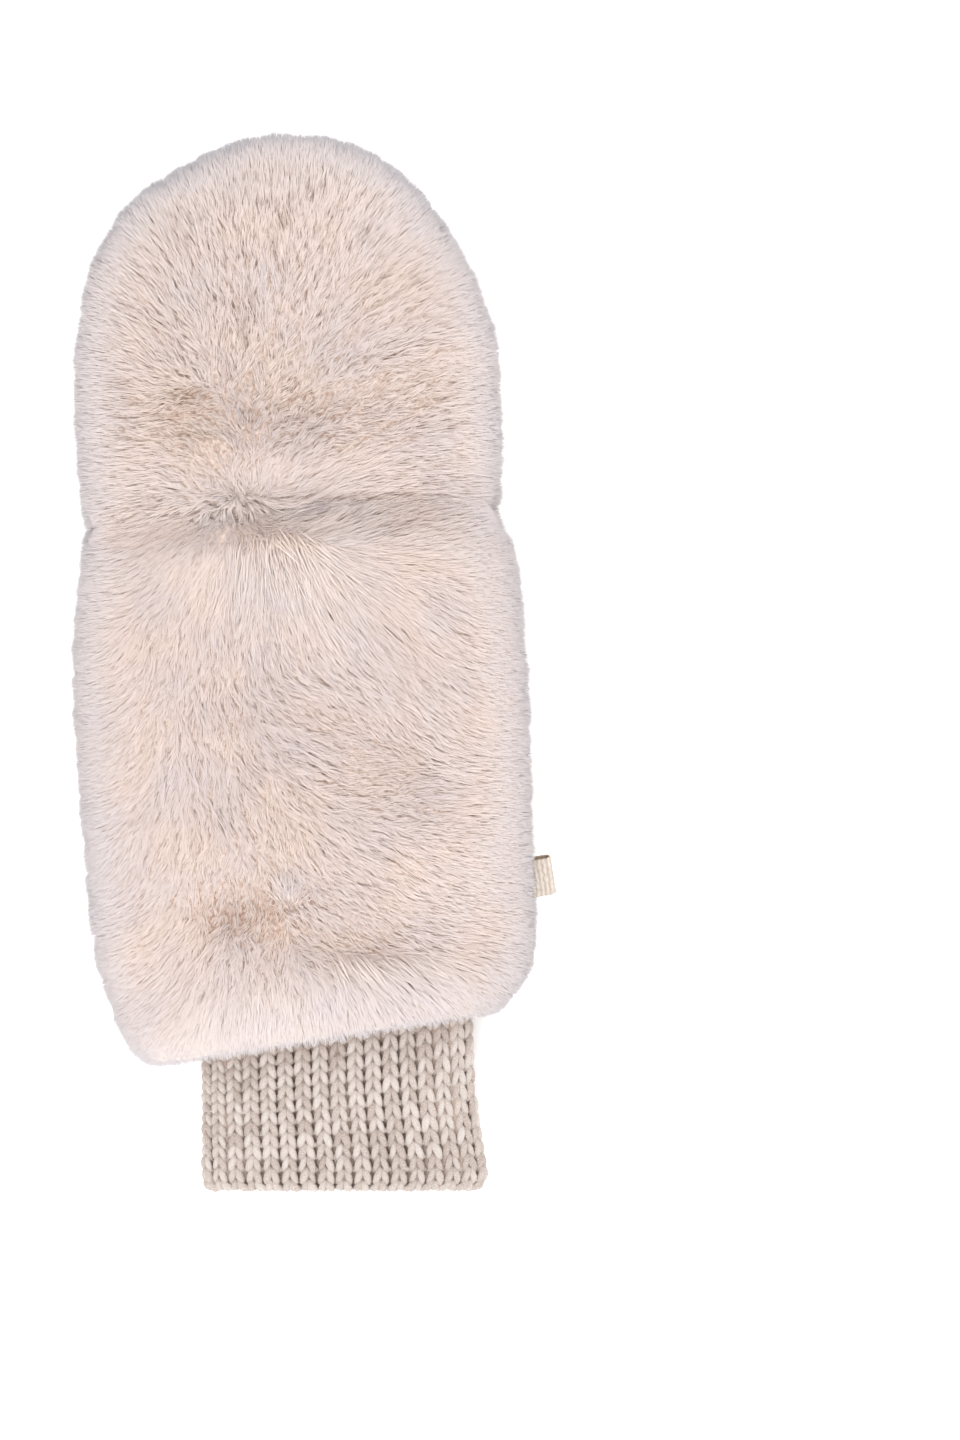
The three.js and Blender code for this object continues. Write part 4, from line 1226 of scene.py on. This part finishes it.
def fuzz(cords, rng):
    """Fibres that stand off the yarn, drawn three times as thick as real ones so that they show."""
    place = np.concatenate([c[0] for cord in cords for c in cord[1:-1]])
    out = np.concatenate([c[1] for cord in cords for c in cord[1:-1]])
    pick = rng.choice(len(place), FUZZ)
    root = place[pick] + out[pick] * YARN * 0.35
    way = unit(rng.standard_normal((FUZZ, 3)) + 0.5 * out[pick])
    bend = root + way * (0.5 + 0.4 * rng.random((FUZZ, 1)))
    tip = bend + unit(way + 0.6 * rng.standard_normal((FUZZ, 3))) * (0.3 + 0.6 * rng.random((FUZZ, 1)))
    points, triangles = kites(root, bend, tip, np.full(FUZZ, FUZZ_WIDTH), out[pick], out[pick])
    points[:, 2] = np.maximum(points[:, 2], 0.1)
    uv = rng.random((FUZZ, 2)).repeat(4, axis=0) * 20
    tone = (0.6 * rng.random(FUZZ)).repeat(4)
    return points, triangles, uv, tone, np.zeros(len(points))


fuzz_parts = fuzz(leg_cords[6:], knit_rng)

# %% The cuff as one mesh
cloth_points, cloth_triangles, cloth_painted_shade = cuff_cloth()
no_tone = np.zeros(len(cloth_points))
cloth_parts = (cloth_points, cloth_triangles, np.stack([no_tone, no_tone], -1), no_tone, cloth_painted_shade)
parts = [leg_parts, bump_parts, fuzz_parts, cloth_parts]
points, _, uvs, tones, painted_shades = (np.concatenate(part) for part in zip(*parts))
starts = np.cumsum([0, *(len(part[0]) for part in parts)])
cuff_triangles = np.concatenate([part[1] + start for part, start in zip(parts, starts)])
cuff = make_mesh("knit_cuff_stitches", points, cuff_triangles, yarn, "knit_cuff",
                 {"tone": tones, "deep": painted_shades})
uv_layer = cuff.data.uv_layers.new(name="along_yarn")
uv_layer.data.foreach_set("uv", uvs[cuff_triangles.ravel()].astype(np.float32).ravel())

# %% [markdown]
# ## Ribbon tag
# A short piece of grosgrain ribbon is folded double and caught in the side seam. Grosgrain has thick
# cross cords under a fine warp, so ridges run along the fold, one each 1.2 mm. The ribbon is swept
# along its folded profile with a bulge at every cord; its selvedges are a little thicker than the rest.

# %% Ribbon material
# A wave of this scale repeats every 0.13 mm, about as far apart as the warp's threads.
WARP = 2.5


def make_ribbon():
    material = new_material("polyester_grosgrain_ribbon")
    tree = material.node_tree
    uv = node(tree, "ShaderNodeUVMap", {"uv_map": "ribbon"})
    stretched = node(tree, "ShaderNodeMapping", {"Scale": (1.0, 0.25, 1.0)}, {"Vector": uv.outputs[0]})
    warp = node(tree, "ShaderNodeTexWave", {"Scale": WARP, "bands_direction": "Y", "Distortion": 0.6},
                {"Vector": uv.outputs[0]})
    slubs = node(tree, "ShaderNodeTexNoise", {"Scale": 3.0, "Detail": 3.0},
                 {"Vector": stretched.outputs[0]})
    # Painted shade: the thread is darker in the grooves between the cords.
    groove = node(tree, "ShaderNodeAttribute", {"attribute_name": "groove"})
    mixed = node(tree, "ShaderNodeMath", {"operation": "MULTIPLY_ADD", 1: -0.3},
                 {0: groove.outputs["Fac"], 2: slubs.outputs["Fac"]})
    thread = ramp(tree, mixed.outputs[0], [(0.15, "#b7a797"), (0.4, "#d5c9be"), (0.6, "#e3dad2")])
    # Painted shade: the loop's inner face is darkened towards a deeper tan.
    inner = node(tree, "ShaderNodeAttribute", {"attribute_name": "inner"})
    inner_painted_shade = node(tree, "ShaderNodeMix", {"data_type": "RGBA", 7: linear("#b49d86")},
                {0: inner.outputs["Fac"], 6: thread})
    bump = node(tree, "ShaderNodeBump", {"Strength": 0.35, "Distance": 0.00008},
                {"Height": warp.outputs["Fac"]})
    skin = node(tree, "ShaderNodeBsdfPrincipled", {
        "Roughness": 0.55, "IOR": 1.52, "Specular IOR Level": 0.4, "Sheen Weight": 0.15,
    }, {"Base Color": inner_painted_shade.outputs[2], "Normal": bump.outputs[0]})
    node(tree, "ShaderNodeOutputMaterial", links={"Surface": skin.outputs[0]})
    return material


ribbon = make_ribbon()

# %% Folded ribbon
CORD_PITCH = 1.2
CORD_RELIEF = 0.1
TAG_SKEW = 0.45
FLAT_STEPS = 70
BEND_STEPS = 26


def tag_profile():
    """Points of the folded strip's middle line, out and back: x, z, way along it."""
    radius = (TAG_LOOP - TAG_RIBBON) / 2
    straight = TAG_ROOT + TAG_OUT - TAG_LOOP / 2
    out = np.linspace(1.0, straight, FLAT_STEPS)
    bend = np.linspace(-math.pi / 2, math.pi / 2, BEND_STEPS)[1:-1]
    x = np.concatenate([out, straight + radius * np.cos(bend), out[::-1]])
    z = np.concatenate([np.full(FLAT_STEPS, -radius), radius * np.sin(bend), np.full(FLAT_STEPS, radius)])
    way = np.concatenate([[0], np.cumsum(np.hypot(np.diff(x), np.diff(z)))])
    return x, z, way


def folded_ribbon():
    x, z, way = tag_profile()
    tangent = unit(np.stack([np.gradient(x), np.gradient(z)], -1))
    normal = np.stack([tangent[:, 1], -tangent[:, 0]], -1)
    cord = 0.5 + 0.5 * np.cos(2 * np.pi * way / CORD_PITCH)
    across = np.array([-0.5, -0.49, -0.46, -0.43, -0.25, 0, 0.25, 0.43, 0.46, 0.49, 0.5])
    selvedge = np.array([0.55, 0.95, 1.05, 0.9, 0.9, 0.9, 0.9, 0.9, 1.05, 0.95, 0.55])
    rows, grooves, inners, uvs = [], [], [], []
    for face, inside in ((1, 0.0), (-1, 1.0)):
        for share, thick in list(zip(across, selvedge))[::face]:
            lift = face * (TAG_RIBBON / 2 * thick - CORD_RELIEF * (1 - cord))
            # The loop leans, so a strip of its inner side shows along the edge nearer the fingertips.
            skew = -TAG_SKEW * np.clip(z / z.max(), -1, 1)
            flat = np.stack([x, share * (TAG_WIDTH - 2 * TAG_SKEW) + skew, z], -1)
            flat[:, 0] += normal[:, 0] * lift
            flat[:, 2] += normal[:, 1] * lift
            rows.append(flat)
            grooves.append(1 - cord)
            inners.append(np.full(len(x), inside))
            uvs.append(np.stack([way, np.full(len(x), share * TAG_WIDTH)], -1))
    points = np.stack(rows, axis=1).reshape(-1, 3)
    columns = len(rows)
    steps = len(x)
    fan = np.arange(1, columns - 1)
    start = np.stack([np.zeros_like(fan), fan + 1, fan], -1)
    last = (steps - 1) * columns
    finish = np.stack([np.full_like(fan, last), last + fan, last + fan + 1], -1)
    triangles = np.concatenate([grid_triangles(steps, columns), start, finish])
    c, s = math.cos(TAG_TURN), math.sin(TAG_TURN)
    x, y, z = points.T
    turned = np.stack([x * c - y * s, x * s + y * c, z], -1)
    middle = tag_place() - np.array([TAG_ROOT, 0, 0])
    uv = np.stack(uvs, axis=1).reshape(-1, 2)
    # groove and inner carry painted shade: darker between the cords and on the loop's inner face.
    tag = make_mesh("ribbon_tag_cloth", turned + middle, triangles, ribbon, "ribbon_tag", {
        "groove": np.stack(grooves, axis=1).ravel(),
        "inner": np.stack(inners, axis=1).ravel(),
    })
    layer = tag.data.uv_layers.new(name="ribbon")
    layer.data.foreach_set("uv", uv[triangles.ravel()].astype(np.float32).ravel())


folded_ribbon()

# %% [markdown]
# ## Camera, floor and light
# The picture was taken from straight above with a long lens. The camera hangs 2 m over the mitten, and
# its lens is chosen so that a frame of 1440 pixels spans 374 mm at the height where the mitten is
# widest. It lies on a white sheet, and a white surround with two broad soft lamps lights it from all
# sides, so its shadows are faint.

# %% Camera
PICTURE_HEIGHT = 0.3744
WIDEST_AT = 0.015
DISTANCE = 2.0
PICTURE_MIDDLE = (0.0428, -0.0148)
camera_data = bpy.data.cameras.new("camera")
camera_data.sensor_fit = "VERTICAL"
camera_data.sensor_height = 36.0
camera_data.lens = 36.0 * DISTANCE / PICTURE_HEIGHT
camera = bpy.data.objects.new("camera", camera_data)
camera.location = (*PICTURE_MIDDLE, WIDEST_AT + DISTANCE)
bpy.context.scene.collection.objects.link(camera)
bpy.context.scene.camera = camera
print("lens, mm:", round(camera_data.lens, 1))


# %% Floor
def make_floor():
    mesh = bpy.data.meshes.new("floor")
    half = 1.5
    corners = [(-half, -half, 0), (half, -half, 0), (half, half, 0), (-half, half, 0)]
    mesh.from_pydata(corners, [], [(0, 1, 2, 3)])
    floor = bpy.data.objects.new("floor", mesh)
    bpy.context.scene.collection.objects.link(floor)
    material = new_material("white_paper_sweep")
    tree = material.node_tree
    skin = node(tree, "ShaderNodeBsdfPrincipled", {
        "Base Color": linear("#fafafa"), "Roughness": 0.9, "Emission Color": linear("#ffffff"),
        "Emission Strength": 0.25,
    })
    node(tree, "ShaderNodeOutputMaterial", links={"Surface": skin.outputs[0]})
    mesh.materials.append(material)


make_floor()


# %% Light
def softbox(name, location, size, power):
    light = bpy.data.lights.new(name, "AREA")
    light.shape = "DISK"
    light.size = size
    light.energy = power
    lamp = bpy.data.objects.new(name, light)
    lamp.location = location
    lamp.rotation_euler = (-Vector(location)).to_track_quat("-Z", "Y").to_euler()
    bpy.context.scene.collection.objects.link(lamp)


world = bpy.data.worlds.new("studio")
bpy.context.scene.world = world
world.use_nodes = True
world.node_tree.nodes["Background"].inputs["Color"].default_value = linear("#ffffff")
world.node_tree.nodes["Background"].inputs["Strength"].default_value = 1.0
softbox("softbox_wrist_side", (-0.25, -1.0, 1.3), 0.9, 12.0)
softbox("softbox_tip_side", (0.6, 1.0, 1.1), 0.9, 6.0)
bpy.context.scene.view_settings.view_transform = "Standard"
